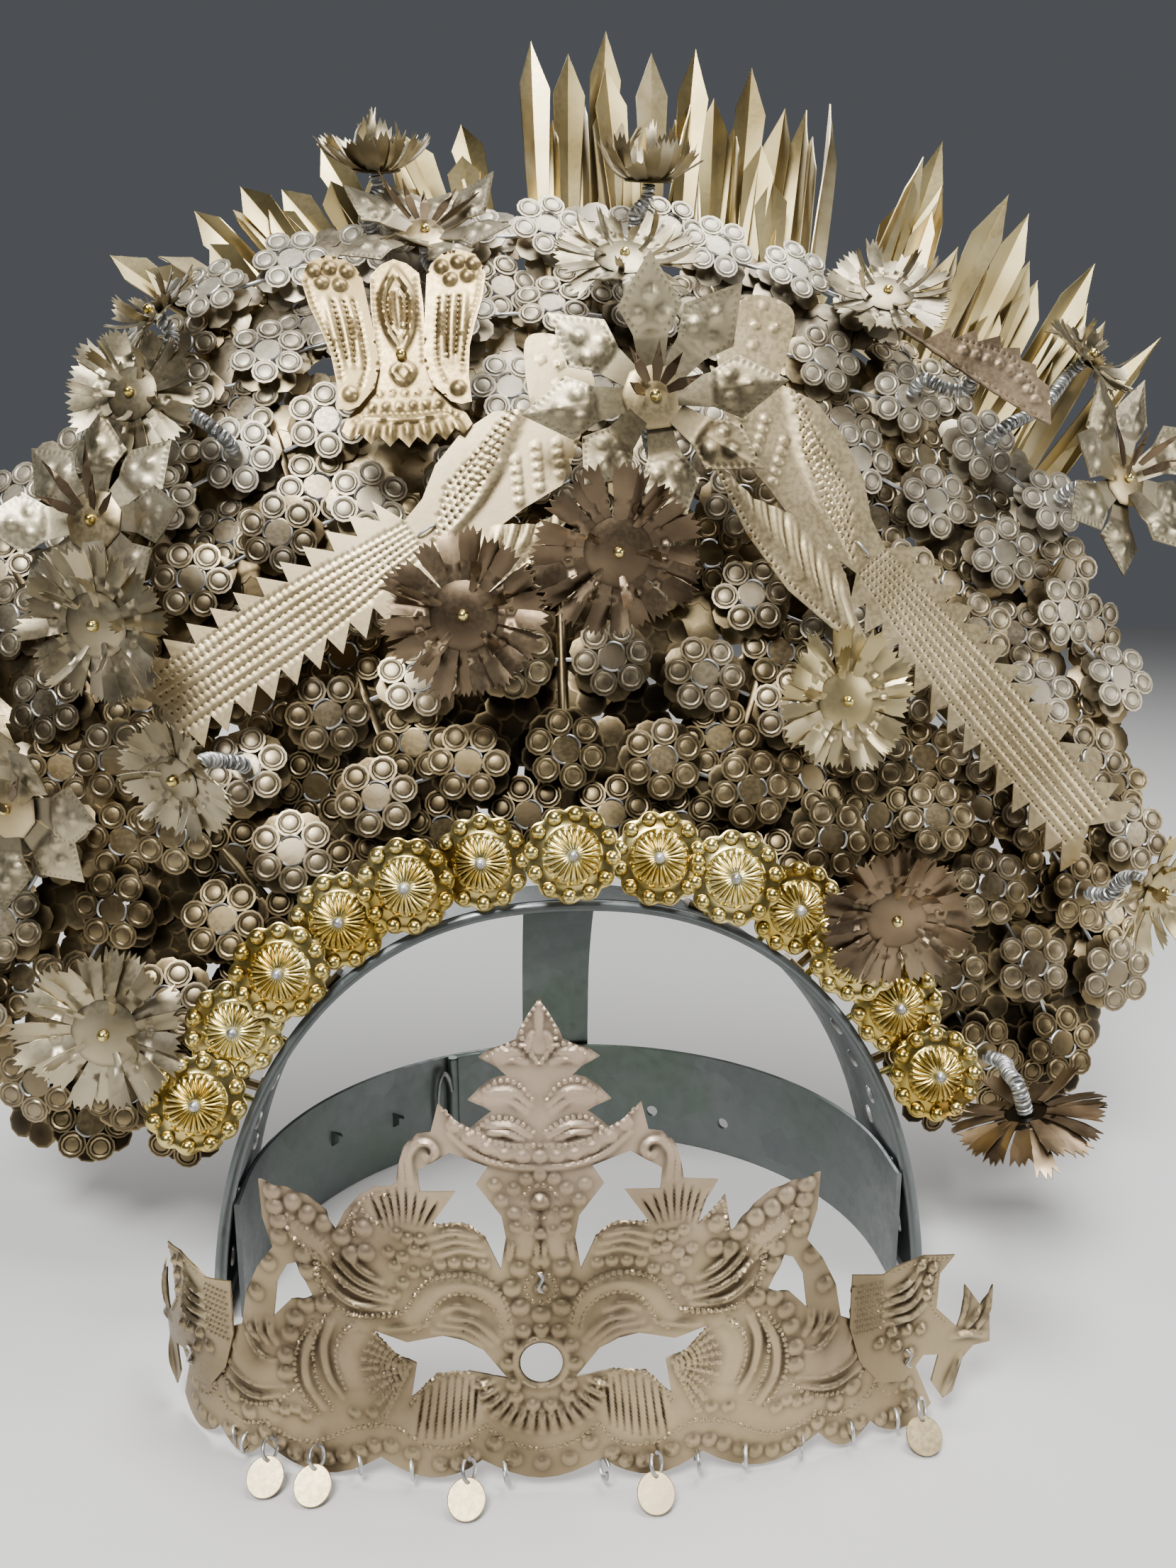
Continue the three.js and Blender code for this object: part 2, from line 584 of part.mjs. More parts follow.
// Rim rosettes: scalloped domed discs with a bent stem down to the band
for (let i = 0; i < rosette.count; i += 1) {
  const turn = rosette.first + ((Math.PI - 2 * rosette.first) * i) / (rosette.count - 1);
  const flat = archCurve(turn);
  const out = archOut(turn);
  const at = flat.clone().addScaledVector(out, rosettePin.head);
  const back = i % 2 ? rosettePin.far : rosettePin.near;
  const face = leaned(0, 0, -1);
  const raise = { edge: 0, ...rosetteDome };
  const disc = roundPlate(rosette.radius, rosette.thick, [1, 1 - rosette.notch], rosette.lobes, raise);
  disc.applyMatrix4(facing(leaned(at.x, at.y, back), face, rad(9 * i)));
  const low = flat.clone().addScaledVector(out, arch.sheet + seat);
  const pin = flat.clone().addScaledVector(out, rosettePin.out);
  const bend = [leaned(pin.x, pin.y, back - rosettePin.sunk), leaned(pin.x, pin.y, rosettePin.back - 1)];
  const stem = wireAlong([...bend, leaned(low.x, low.y, rosettePin.back)], rosettePin.radius, 4);
  add('rim_rosette_' + String(i + 1).padStart(2, '0'), join([disc, stem]), 'gold');
}

// Crest combs: a base strip with a row of pointed leaves in two layers
crestCombs.forEach((comb) => {
  const outer = [];
  const inner = [];
  const far = crest.radius + crest.strip / 2;
  const near = crest.radius - crest.strip / 2;
  for (let i = 0; i <= crest.steps; i += 1) {
    const turn = rad(comb.from + ((comb.to - comb.from) * i) / crest.steps);
    outer.push([far * Math.cos(turn), crest.centre + far * Math.sin(turn)]);
    inner.push([near * Math.cos(turn), crest.centre + near * Math.sin(turn)]);
  }
  const pieces = [sheetOf([...outer, ...inner.reverse()], crest.thick).translate(0, 0, -crest.thick)];
  for (let i = 0; i < comb.leaves; i += 1) {
    const share = (i + 0.5) / comb.leaves;
    const turn = rad(comb.from + (comb.to - comb.from) * share);
    const lean = (turn - Math.PI / 2) * comb.splay + (i % 3 === 1 ? leafSway.leanIn : leafSway.leanOut);
    const sway = Math.sin(leafSway.beat * i + leafSway.phase);
    const length = comb.length * (leafSway.mean + leafSway.swing * sway);
    const leaf = sheetOf(
      [
        [-leafForm.foot, 0],
        [leafForm.foot, 0],
        [leafForm.shoulder, length * leafForm.shoulderAt],
        [0, length],
        [-leafForm.shoulder, length * leafForm.shoulderAt],
      ],
      leafForm.thick,
    );
    leaf.rotateZ(lean);
    const depth = i % 2 ? -leafForm.inset - leafForm.thick : -crest.thick + leafForm.inset;
    const foot = crest.centre + crest.radius * Math.sin(turn) - leafForm.sunk;
    leaf.translate(crest.radius * Math.cos(turn), foot, depth);
    pieces.push(leaf);
  }
  add(comb.name, join(pieces).applyMatrix4(crestTurn), 'dusty');
});

// Spring from the nearest free blossom to the back of a flower or bird
const taken = new Set();
function springTo(place, normal) {
  const free = blossoms.filter((one) => !taken.has(one));
  const behind = place.clone().addScaledVector(normal, -spring.seek);
  const near = free.reduce((a, b) => (b.point.distanceTo(behind) < a.point.distanceTo(behind) ? b : a));
  taken.add(near);
  const foot = near.point.clone().addScaledVector(near.normal, blossom.crown + seat);
  const rise = Math.min(spring.rise, foot.distanceTo(place) * spring.riseShare);
  const points = [
    foot,
    foot.clone().addScaledVector(near.normal, rise),
    place.clone().addScaledVector(normal, -rise),
    place.clone(),
  ];
  return wireAlong(points, spring.radius, spring.sides);
}

const spotOf = (one) => vec(one.x, one.y, one.z);
const normalOf = (one) => vec(one.nx, one.ny, one.nz).normalize();

quiverRows.forEach((one, i) => {
  const head = starPlate(one.radius, fringe.thick, [1, 1 - fringe.notch], fringe.strips, fringe.cup);
  head.applyMatrix4(facing(spotOf(one), normalOf(one), rad(13 * i)));
  const name = 'quiver_flower_' + String(i + 1).padStart(2, '0');
  const look = i < fringe.dark ? 'bronze' : 'dusty';
  add(name, join([head, springTo(spotOf(one), normalOf(one))]), look);
});

starRows.forEach((one, i) => {
  const profile = [1, star.shoulder, star.notch, star.shoulder];
  const head = starPlate(one.radius, star.thick, profile, star.petals, star.cup);
  head.applyMatrix4(facing(spotOf(one), normalOf(one), rad(20 * i + 8)));
  add('star_flower_' + (i + 1), join([head, springTo(spotOf(one), normalOf(one))]), 'dusty');
});

// Winged bird
const halfBird = Object.values(wingedBirdHalf).flat();
const otherHalf = halfBird.slice(1, -1).reverse().map(([x, y]) => [-x, y]);
const wingedForm = sheetOf([...halfBird, ...otherHalf].reverse(), birdSheet).translate(0, 0, -birdSheet / 2);
wingedForm.applyMatrix4(facing(spotOf(wingedBird), normalOf(wingedBird), wingedBird.roll));
add('winged_bird', join([wingedForm, springTo(spotOf(wingedBird), normalOf(wingedBird))]), 'dusty');

// Long-tailed birds: saw-toothed tail, tied neck and feathered body along one axis
tailedBirdRows.forEach((one) => {
  const start = vec(...one.tail);
  const axis = vec(...one.head).sub(start);
  const length = axis.length();
  axis.normalize();
  const teeth = [];
  for (let i = 0; i < tail.teeth && i * tail.pitch + tail.step < tail.end * length; i += 1) {
    teeth.push([i * tail.pitch, tail.halfWidth - tail.tooth]);
    teeth.push([i * tail.pitch + tail.step, tail.halfWidth]);
  }
  const along = (rows) => rows.map(([share, half]) => [share * length, half]);
  const broad = [...teeth, ...along(birdBody.broad), ...along(birdBody.head)].map(([x, y]) => [x, -y]);
  const plain = [...teeth, ...along(birdBody.plain)].reverse();
  const body = sheetOf([...broad, ...plain], birdSheet);
  const lobe = sheetOf(along(birdBody.lobe).reverse(), birdSheet);
  const form = join([body, lobe]).translate(0, 0, -birdSheet / 2);
  if (one.lobe < 0) form.rotateX(Math.PI);
  const side = vec(0, -1, birdBody.tilt).cross(axis).normalize();
  const face = axis.clone().cross(side);
  form.applyMatrix4(new THREE.Matrix4().makeBasis(axis, side, face).setPosition(start));
  const tie = start.clone().addScaledVector(axis, length * birdBody.tie);
  add(one.name, join([form, springTo(tie, face)]), 'dusty');
});

// Folded leaf with serrated edges
const halfLeaf = [[-leafFold.lap, 0]];
for (let i = 0; i < leafEdge.teeth; i += 1) {
  const share = i / (leafEdge.teeth - 1);
  const half = leafEdge.half * Math.sin(Math.PI * (leafEdge.from + leafEdge.swell * share));
  const up = leafEdge.length * (leafEdge.first + leafEdge.span * share);
  halfLeaf.push([half - leafEdge.tooth, up]);
  halfLeaf.push([half, up + leafEdge.length * leafEdge.point]);
}
halfLeaf.push([-leafFold.lap, leafEdge.length]);
const leafHalves = [1, -1].map((side) => {
  const outline = halfLeaf.map(([x, y]) => [side * x, y - leafEdge.length / 2]);
  const half = sheetOf(side > 0 ? outline : outline.reverse(), birdSheet).translate(0, 0, -birdSheet / 2);
  return half.rotateY(-side * leafFold.angle);
});
const leafSheet = join(leafHalves);
leafSheet.applyMatrix4(facing(spotOf(foldedLeaf), normalOf(foldedLeaf), leafFold.roll));
add('folded_leaf', join([leafSheet, springTo(spotOf(foldedLeaf), normalOf(foldedLeaf))]), 'bronze');

// Brow plate: its bend in plan, walked out from the middle
function browPath(across, off = 0) {
  const side = Math.sign(across) || 1;
  const ends = side > 0 ? browBend.rightEnd : browBend.leftEnd;
  let x = 0;
  let back = 0;
  let turn = 0;
  for (let u = 0; u < Math.abs(across); u += browBend.step) {
    const move = Math.min(browBend.step, Math.abs(across) - u);
    x += move * Math.cos(turn);
    back += move * Math.sin(turn);
    turn += move / (u < browBend.bendFrom ? browBend.radius : ends);
  }
  return [side * (x - off * Math.sin(turn)), back + off * Math.cos(turn)];
}

// The wall that the plate and its wings are cut from
function browShell(nearOff, farOff) {
  const near = [];
  const far = [];
  const count = Math.round((2 * browBend.reach) / browBend.facet);
  for (let i = 0; i <= count; i += 1) {
    const across = browBend.reach * ((2 * i) / count - 1);
    near.push(browPath(across, nearOff));
    far.push(browPath(across, farOff));
  }
  return sheetOf([...near, ...far.reverse()], browBlock.height).translate(0, 0, -browBlock.below);
}

function browSlab(points, holes = []) {
  const bend = ([u, v]) => [browPath(u)[0], v];
  const slab = sheetOf(points.map(bend), browBlock.depth, holes.map((hole) => hole.map(bend)));
  return slab.translate(0, 0, -browBlock.front).rotateX(Math.PI / 2);
}

const mirrored = (points) => points.map(([u, v]) => [-u, v]).reverse();
const rightEdge = Object.values(browOutline).flat();
const scallopEdge = [];
browScallops.forEach((row) => {
  for (let i = 0; i < scallopSteps; i += 1) {
    const share = i / scallopSteps;
    const across = row.from + (row.to - row.from) * share;
    if (across > 0.5) scallopEdge.push([across, row.edge - row.drop * Math.sin(Math.PI * share)]);
  }
});
const lowest = [[0, browScallops[4].edge - browScallops[4].drop]];
const leftEdge = Object.entries(browOutline).flatMap(([part, points]) => browLeft[part] ?? points);
const below = scallopEdge.slice(1);
const leftHalf = mirrored([...leftEdge.slice(1), ...below]);
const browEdge = [...rightEdge, ...below, ...lowest, ...leftHalf].reverse();
const holes = Object.values(browHoles).flatMap((hole) => [hole, mirrored(hole)]);
const ringHole = [];
for (let i = 0; i < browCentreHole.sides; i += 1) {
  const turn = (2 * Math.PI * i) / browCentreHole.sides;
  const up = browCentreHole.up + browCentreHole.radius * Math.sin(turn);
  ringHole.push([browCentreHole.radius * Math.cos(turn), up]);
}
holes.push(ringHole);

const browStand = new THREE.Group();
browStand.position.set(brow.x, brow.y, brow.z);
browStand.rotation.z = brow.yaw;
assembly.add(browStand);
const browSheet = common(browSlab(browEdge, holes), browShell(0, brow.sheet));
add('brow_plate', browSheet, 'plate', browStand).rotation.x = -brow.lean;
const wingEdge = Object.values(browWing).flat();
const wingShell = browShell(-seat - brow.sheet, -seat);
const rightWing = common(browSlab([...wingEdge].reverse()), wingShell);
add('brow_wing_right', rightWing, 'plate', browStand).rotation.x = -brow.lean;
const leftWing = common(browSlab(mirrored(wingEdge).reverse()), wingShell);
add('brow_wing_left', leftWing, 'plate', browStand).rotation.x = -brow.lean;

// Drops: a disc with its jump ring, leaning in front of the plate's lower edge
dropRows.forEach((row, i) => {
  const disc = new THREE.CylinderGeometry(drop.radius, drop.radius, drop.thick, 9).rotateX(Math.PI / 2);
  const ring = new THREE.TorusGeometry(jumpRing.radius, jumpRing.wire, 3, 7);
  ring.translate(0, drop.radius + jumpRing.radius - jumpRing.lap, 0);
  const body = join([disc, ring]);
  body.rotateX(Math.PI / 2 - drop.tilt);
  const [x, back] = browPath(row.across);
  const low = drop.radius * Math.sin(drop.tilt) + drop.thick * 0.5 * Math.cos(drop.tilt);
  body.translate(x, back - drop.ahead, low - brow.z + drop.clear);
  add('drop_' + (i + 1), body, 'plate', browStand);
});

// The origin is the middle of the underside of the whole headdress
headdress.updateMatrixWorld(true);
const box = new THREE.Box3().setFromObject(headdress, true);
assembly.position.set(-(box.min.x + box.max.x) / 2, -(box.min.y + box.max.y) / 2, -box.min.z);

export default headdress;
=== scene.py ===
# Looks of the ceremonial fan headdress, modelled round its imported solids
import math
import random

import bpy
import numpy as np
from mathutils import Matrix, Vector
from mathutils.geometry import delaunay_2d_cdt
from mathutils.kdtree import KDTree


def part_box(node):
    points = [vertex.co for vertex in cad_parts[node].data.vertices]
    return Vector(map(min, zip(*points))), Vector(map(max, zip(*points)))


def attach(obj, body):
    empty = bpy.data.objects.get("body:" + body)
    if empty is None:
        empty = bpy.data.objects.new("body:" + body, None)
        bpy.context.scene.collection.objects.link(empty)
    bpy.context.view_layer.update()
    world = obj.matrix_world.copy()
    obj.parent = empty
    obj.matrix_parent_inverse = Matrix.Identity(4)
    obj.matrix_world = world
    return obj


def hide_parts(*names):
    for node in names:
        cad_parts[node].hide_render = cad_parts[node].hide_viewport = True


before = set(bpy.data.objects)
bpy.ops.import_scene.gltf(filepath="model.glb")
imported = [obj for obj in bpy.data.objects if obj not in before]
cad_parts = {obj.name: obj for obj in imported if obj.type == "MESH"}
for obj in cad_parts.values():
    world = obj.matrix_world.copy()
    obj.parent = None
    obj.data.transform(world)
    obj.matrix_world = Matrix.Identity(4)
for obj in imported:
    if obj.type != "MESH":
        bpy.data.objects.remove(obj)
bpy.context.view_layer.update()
dice = random.Random(11)

# the layout is worked out in millimetres about the foot of the arch, then set down in the frame
mm = 0.001
arch = {"halfWidth": 84, "height": 98, "power": 2.3, "lean": math.radians(10), "depth": 38, "sheet": 1.2}
archLow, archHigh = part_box("front_arch")
archFront = 0.7 / math.cos(arch["lean"])  # the rolled rim stands this far before the band's edge
shift = Vector(((archLow.x + archHigh.x) / 2, archLow.y + archFront * mm, 0))
toFrame = Matrix.Translation(shift) @ Matrix.Scale(mm, 4)
print("frame loaded, layout set down at", [round(value, 5) for value in shift])


# camera, floor and lamps
view = {"place": (-19.5, -251.3, 184.0), "pitch": 78, "turn": -5, "lens": 27.03, "sensor": 36}
studio = {"floorSize": 4, "floorColour": (0.60, 0.59, 0.58), "skyColour": (0.80, 0.86, 0.94), "sky": 0.10}
lamps = [
    {"name": "keyLamp", "place": (-0.20, -0.55, 0.80), "aim": (0, 0.03, 0.15), "size": 0.30, "power": 14.0},
    {"name": "topLamp", "place": (0.20, 0.02, 0.95), "aim": (0, 0.05, 0.18), "size": 0.45, "power": 10.0},
    {"name": "sideLamp", "place": (0.85, -0.45, 0.40), "aim": (0, 0, 0.14), "size": 0.40, "power": 3.5},
    {"name": "backLamp", "place": (-0.35, 0.90, 0.50), "aim": (0, 0.05, 0.15), "size": 0.60, "power": 6.0},
]

bpy.ops.object.camera_add(rotation=(math.radians(view["pitch"]), 0, math.radians(view["turn"])))
camera = bpy.context.object
camera.location = toFrame @ Vector(view["place"])
camera.data.lens = view["lens"]
camera.data.sensor_width = view["sensor"]
camera.data.clip_start = 0.01
bpy.context.scene.camera = camera

bpy.ops.mesh.primitive_plane_add(size=studio["floorSize"], location=(0, 0, -0.0003))
floor = bpy.context.object
floor.name = "studio_floor"
floorLook = bpy.data.materials.new("paleFloor")
floorLook.use_nodes = True
floorLook.node_tree.nodes["Principled BSDF"].inputs["Base Color"].default_value = (*studio["floorColour"], 1)
floorLook.node_tree.nodes["Principled BSDF"].inputs["Roughness"].default_value = 0.75
floor.data.materials.append(floorLook)

for lamp in lamps:
    bpy.ops.object.light_add(type="AREA", location=lamp["place"])
    light = bpy.context.object
    light.name = lamp["name"]
    light.data.size = lamp["size"]
    light.data.energy = lamp["power"]
    aim = Vector(lamp["aim"]) - Vector(lamp["place"])
    light.rotation_euler = aim.to_track_quat("-Z", "Y").to_euler()

sky = bpy.data.worlds.new("studioSky")
sky.use_nodes = True
sky.node_tree.nodes["Background"].inputs["Color"].default_value = (*studio["skyColour"], 1)
sky.node_tree.nodes["Background"].inputs["Strength"].default_value = studio["sky"]
bpy.context.scene.world = sky
print("camera, floor and lamps are up")


# shader groups that several finishes share
def tint(red, green, blue):
    # screen colour to the renderer's own
    return tuple(((c / 255 + 0.055) / 1.055) ** 2.4 if c > 10 else c / 3294 for c in (red, green, blue)) + (1,)


def addNode(tree, kind, column, row, **settings):
    node = tree.nodes.new(kind)
    node.location = (column * 190, -row * 180)
    for key, value in settings.items():
        setattr(node, key, value)
    return node


def mathNode(tree, operation, column, row, first, second, clamp=False):
    node = addNode(tree, "ShaderNodeMath", column, row, operation=operation, use_clamp=clamp)
    for socket, value in zip(node.inputs, (first, second)):
        if isinstance(value, (int, float)):
            socket.default_value = value
        elif value is not None:
            tree.links.new(value, socket)
    return node.outputs[0]


def rangeNode(tree, column, row, value, fromMin, fromMax, toMin=0.0, toMax=1.0):
    node = addNode(tree, "ShaderNodeMapRange", column, row, interpolation_type="SMOOTHSTEP")
    tree.links.new(value, node.inputs["Value"])
    for key, number in (("From Min", fromMin), ("From Max", fromMax), ("To Min", toMin), ("To Max", toMax)):
        node.inputs[key].default_value = number
    return node.outputs["Result"]


def noiseNode(tree, column, row, vector, scale, detail=3.0, rough=0.55):
    node = addNode(tree, "ShaderNodeTexNoise", column, row)
    tree.links.new(vector, node.inputs["Vector"])
    if isinstance(scale, (int, float)):
        node.inputs["Scale"].default_value = scale
    else:
        tree.links.new(scale, node.inputs["Scale"])
    node.inputs["Detail"].default_value = detail
    node.inputs["Roughness"].default_value = rough
    return node.outputs[0]


def mixColour(tree, column, row, factor, first, second):
    node = addNode(tree, "ShaderNodeMix", column, row, data_type="RGBA")
    tree.links.new(factor, node.inputs[0])
    for socket, value in ((node.inputs[6], first), (node.inputs[7], second)):
        if isinstance(value, tuple):
            socket.default_value = value
        else:
            tree.links.new(value, socket)
    return node.outputs[2]


def startGroup(name, inputs, outputs):
    group = bpy.data.node_groups.new(name, "ShaderNodeTree")
    for label, value in inputs:
        socket = group.interface.new_socket(label, in_out="INPUT", socket_type="NodeSocketFloat")
        socket.default_value = value
    for label in outputs:
        group.interface.new_socket(label, in_out="OUTPUT", socket_type="NodeSocketFloat")
    enter = addNode(group, "NodeGroupInput", -6, 0)
    leave = addNode(group, "NodeGroupOutput", 6, 0)
    return group, enter, leave


# settled dust: more on faces that look up, broken up by cloudy and fine noise
dustGroup, enter, leave = startGroup("settledDust", [("Level", 0.5), ("Upward", 0.5)], ["Mask"])
coords = addNode(dustGroup, "ShaderNodeTexCoord", -6, 2)
geometry = addNode(dustGroup, "ShaderNodeNewGeometry", -6, 4)
split = addNode(dustGroup, "ShaderNodeSeparateXYZ", -5, 4)
dustGroup.links.new(geometry.outputs["Normal"], split.inputs[0])
upFacing = mathNode(dustGroup, "MULTIPLY", -3, 4, split.outputs["Z"], enter.outputs["Upward"])
cloud = noiseNode(dustGroup, -4, 1, coords.outputs["Object"], 90, 2)
speck = noiseNode(dustGroup, -4, 3, coords.outputs["Object"], 1400, 2)
cloudPart = mathNode(dustGroup, "MULTIPLY", -3, 1, mathNode(dustGroup, "SUBTRACT", -4, 0, cloud, 0.5), 0.7)
speckPart = mathNode(dustGroup, "MULTIPLY", -3, 3, mathNode(dustGroup, "SUBTRACT", -4, 5, speck, 0.5), 0.1)
dustSum = mathNode(dustGroup, "ADD", -2, 1, enter.outputs["Level"], upFacing)
dustSum = mathNode(dustGroup, "ADD", -1, 1, dustSum, cloudPart)
dustSum = mathNode(dustGroup, "ADD", 0, 1, dustSum, speckPart)
dustGroup.links.new(rangeNode(dustGroup, 2, 1, dustSum, 0.05, 0.95), leave.inputs["Mask"])

# tarnish: slow blotches and finer streaks for colour and gloss
tarnishGroup, enter, leave = startGroup("tarnish", [("Size", 60.0)], ["Blotch", "Fine"])
coords = addNode(tarnishGroup, "ShaderNodeTexCoord", -6, 2)
blotch = noiseNode(tarnishGroup, -3, 1, coords.outputs["Object"], enter.outputs["Size"], 2, 0.45)
tarnishGroup.links.new(rangeNode(tarnishGroup, 0, 1, blotch, 0.32, 0.68), leave.inputs["Blotch"])
fine = noiseNode(tarnishGroup, -3, 3, coords.outputs["Object"], 900, 3)
tarnishGroup.links.new(rangeNode(tarnishGroup, 0, 3, fine, 0.3, 0.7), leave.inputs["Fine"])

# beaten surface: fine dents and grain as a height
grainGroup, enter, leave = startGroup("beatenGrain", [("Dent", 420.0), ("Grain", 3200.0)], ["Height"])
coords = addNode(grainGroup, "ShaderNodeTexCoord", -6, 2)
dent = noiseNode(grainGroup, -3, 1, coords.outputs["Object"], enter.outputs["Dent"], 2)
grain = noiseNode(grainGroup, -3, 3, coords.outputs["Object"], enter.outputs["Grain"], 2)
grainPart = mathNode(grainGroup, "MULTIPLY", -1, 3, grain, 0.35)
grainGroup.links.new(mathNode(grainGroup, "ADD", 1, 2, dent, grainPart), leave.inputs["Height"])

# one row for each finish: two metal tones, the dust on them, and a darker colour painted as shade into hollows and
# under layers
finishes = {
    "dustyBrass": {
        "deep": tint(96, 82, 58), "light": tint(156, 138, 102), "hollowShade": tint(32, 26, 18),
        "dust": tint(180, 172, 154), "level": 0.0, "upward": 0.28, "toneGain": 0.9,
        "rough": (0.33, 0.41), "dustRough": 0.48, "metal": 0.72, "size": 45.0, "bump": 0.06,
    },
    "paleBrass": {
        "deep": tint(122, 111, 86), "light": tint(188, 176, 144), "hollowShade": tint(60, 52, 38),
        "dust": tint(180, 170, 149), "level": 0.05, "upward": 0.22, "toneGain": 0.6,
        "rough": (0.36, 0.42), "dustRough": 0.48, "metal": 0.72, "size": 36.0, "bump": 0.05,
    },
    "crestBrass": {
        "deep": tint(142, 125, 82), "light": tint(210, 193, 142), "hollowShade": tint(80, 67, 40),
        "dust": tint(190, 177, 145), "level": 0.15, "upward": 0.15, "toneGain": 0.5,
        "rough": (0.33, 0.36), "dustRough": 0.42, "metal": 0.8, "size": 26.0, "bump": 0.02,
    },
    "darkBronze": {
        "deep": tint(88, 74, 58), "light": tint(142, 122, 96), "hollowShade": tint(40, 33, 25),
        "dust": tint(160, 141, 114), "level": -0.05, "upward": 0.2, "toneGain": 0.6,
        "rough": (0.34, 0.40), "dustRough": 0.48, "metal": 0.75, "size": 50.0, "bump": 0.05,
    },
    "brightGold": {
        "deep": tint(194, 168, 84), "light": tint(246, 230, 158), "hollowShade": tint(112, 86, 32),
        "dust": tint(222, 206, 156), "level": -0.45, "upward": 0.15, "toneGain": 0.3,
        "rough": (0.22, 0.25), "dustRough": 0.4, "metal": 0.8, "size": 60.0, "bump": 0.02,
    },
    "plateBrass": {
        "deep": tint(132, 117, 90), "light": tint(182, 164, 130), "hollowShade": tint(52, 41, 29),
        "dust": tint(192, 170, 148), "level": -0.05, "upward": 0.15, "toneGain": 0.9,
        "rough": (0.36, 0.44), "dustRough": 0.52, "metal": 0.65, "size": 34.0, "bump": 0.10,
    },
    "tailBrass": {
        "deep": tint(166, 148, 110), "light": tint(208, 188, 146), "hollowShade": tint(78, 64, 42),
        "dust": tint(204, 188, 154), "level": 0.1, "upward": 0.15, "toneGain": 0.5,
        "rough": (0.36, 0.44), "dustRough": 0.5, "metal": 0.75, "size": 34.0, "bump": 0.06,
    },
    "rosyBrass": {
        "deep": tint(118, 100, 66), "light": tint(168, 146, 102), "hollowShade": tint(70, 56, 34),
        "dust": tint(166, 146, 112), "level": -0.1, "upward": 0.1, "toneGain": 0.5,
        "rough": (0.34, 0.42), "dustRough": 0.46, "metal": 0.7, "size": 30.0, "bump": 0.04,
    },
}


def makeFinish(name, row):
    # the attribute "tone" is dust above nought; below it is tarnish on some pieces and painted shade on others;
    # "relief" tells hollows from raised work, and low relief gets painted shade
    finish = bpy.data.materials.new(name)
    finish.use_nodes = True
    tree = finish.node_tree
    shader = tree.nodes["Principled BSDF"]
    shader.location = (1500, 0)
    tone = addNode(tree, "ShaderNodeAttribute", -5, 0, attribute_name="tone")
    relief = addNode(tree, "ShaderNodeAttribute", -5, 2, attribute_name="relief")
    tarnish = addNode(tree, "ShaderNodeGroup", -4, 4, node_tree=tarnishGroup)
    tarnish.inputs["Size"].default_value = row["size"]
    grain = addNode(tree, "ShaderNodeGroup", -4, 6, node_tree=grainGroup)
    dusted = addNode(tree, "ShaderNodeGroup", -1, 0, node_tree=dustGroup)
    dusted.inputs["Upward"].default_value = row["upward"]
    gained = mathNode(tree, "MULTIPLY", -3, 0, tone.outputs["Fac"], row["toneGain"])
    tree.links.new(mathNode(tree, "ADD", -2, 0, gained, row["level"]), dusted.inputs["Level"])
    mask = dusted.outputs["Mask"]
    # painted shade: a negative tone lowers the relief and so darkens the colour as well
    dimmed = mathNode(tree, "MINIMUM", -4, 1, tone.outputs["Fac"], 0.0)
    raised = rangeNode(tree, -2, 2, mathNode(tree, "ADD", -3, 2, relief.outputs["Fac"], dimmed), 0.0, 0.6)
    metal = mixColour(tree, 0, 2, tarnish.outputs["Blotch"], row["deep"], row["light"])
    coat = mixColour(tree, 1, 1, mask, metal, row["dust"])
    # painted shade: where relief is low the colour is mixed toward the finish's darker shade colour
    tree.links.new(mixColour(tree, 2, 1, raised, row["hollowShade"], coat), shader.inputs["Base Color"])
    gloss = rangeNode(tree, 0, 4, tarnish.outputs["Fine"], 0, 1, *row["rough"])
    flat = mathNode(tree, "MULTIPLY", 1, 4, mask, row["dustRough"] - row["rough"][1])
    tree.links.new(mathNode(tree, "ADD", 2, 4, gloss, flat, True), shader.inputs["Roughness"])
    tree.links.new(rangeNode(tree, 2, 3, mask, 0, 1, 1.0, row["metal"]), shader.inputs["Metallic"])
    bump = addNode(tree, "ShaderNodeBump", 2, 6)
    bump.inputs["Strength"].default_value = row["bump"]
    bump.inputs["Distance"].default_value = 0.0004
    tree.links.new(grain.outputs["Height"], bump.inputs["Height"])
    tree.links.new(bump.outputs["Normal"], shader.inputs["Normal"])
    return finish


looks = {name: makeFinish(name, row) for name, row in finishes.items()}

# zinc-coated sheet: crystal spangle, greenish patina towards the back, dull scratches
zinc = {"light": tint(132, 138, 138), "dark": tint(92, 98, 98), "patina": tint(104, 116, 106), "rough": (0.30, 0.5)}
zincLook = bpy.data.materials.new("zincSheet")
zincLook.use_nodes = True
tree = zincLook.node_tree
shader = tree.nodes["Principled BSDF"]
shader.location = (1500, 0)
shader.inputs["Metallic"].default_value = 0.92
coords = addNode(tree, "ShaderNodeTexCoord", -6, 2)
spangle = addNode(tree, "ShaderNodeTexVoronoi", -4, 1)
spangle.inputs["Scale"].default_value = 110
tree.links.new(coords.outputs["Object"], spangle.inputs["Vector"])
spangleTone = addNode(tree, "ShaderNodeSeparateColor", -3, 1)
tree.links.new(spangle.outputs["Color"], spangleTone.inputs[0])
blotch = noiseNode(tree, -4, 3, coords.outputs["Object"], 32, 5)
spread = rangeNode(tree, -2, 1, spangleTone.outputs[0], 0, 1, 0.4, 0.6)
crystal = mixColour(tree, -1, 1, spread, zinc["dark"], zinc["light"])
place = addNode(tree, "ShaderNodeSeparateXYZ", -4, 5)
tree.links.new(coords.outputs["Object"], place.inputs[0])
backward = rangeNode(tree, -3, 5, place.outputs["Y"], -0.02, 0.05)
stain = mathNode(tree, "MULTIPLY", -1, 4, rangeNode(tree, -3, 3, blotch, 0.4, 0.65), backward)
tree.links.new(mixColour(tree, 1, 1, stain, crystal, zinc["patina"]), shader.inputs["Base Color"])
scratch = noiseNode(tree, -4, 7, coords.outputs["Object"], 260, 6, 0.7)
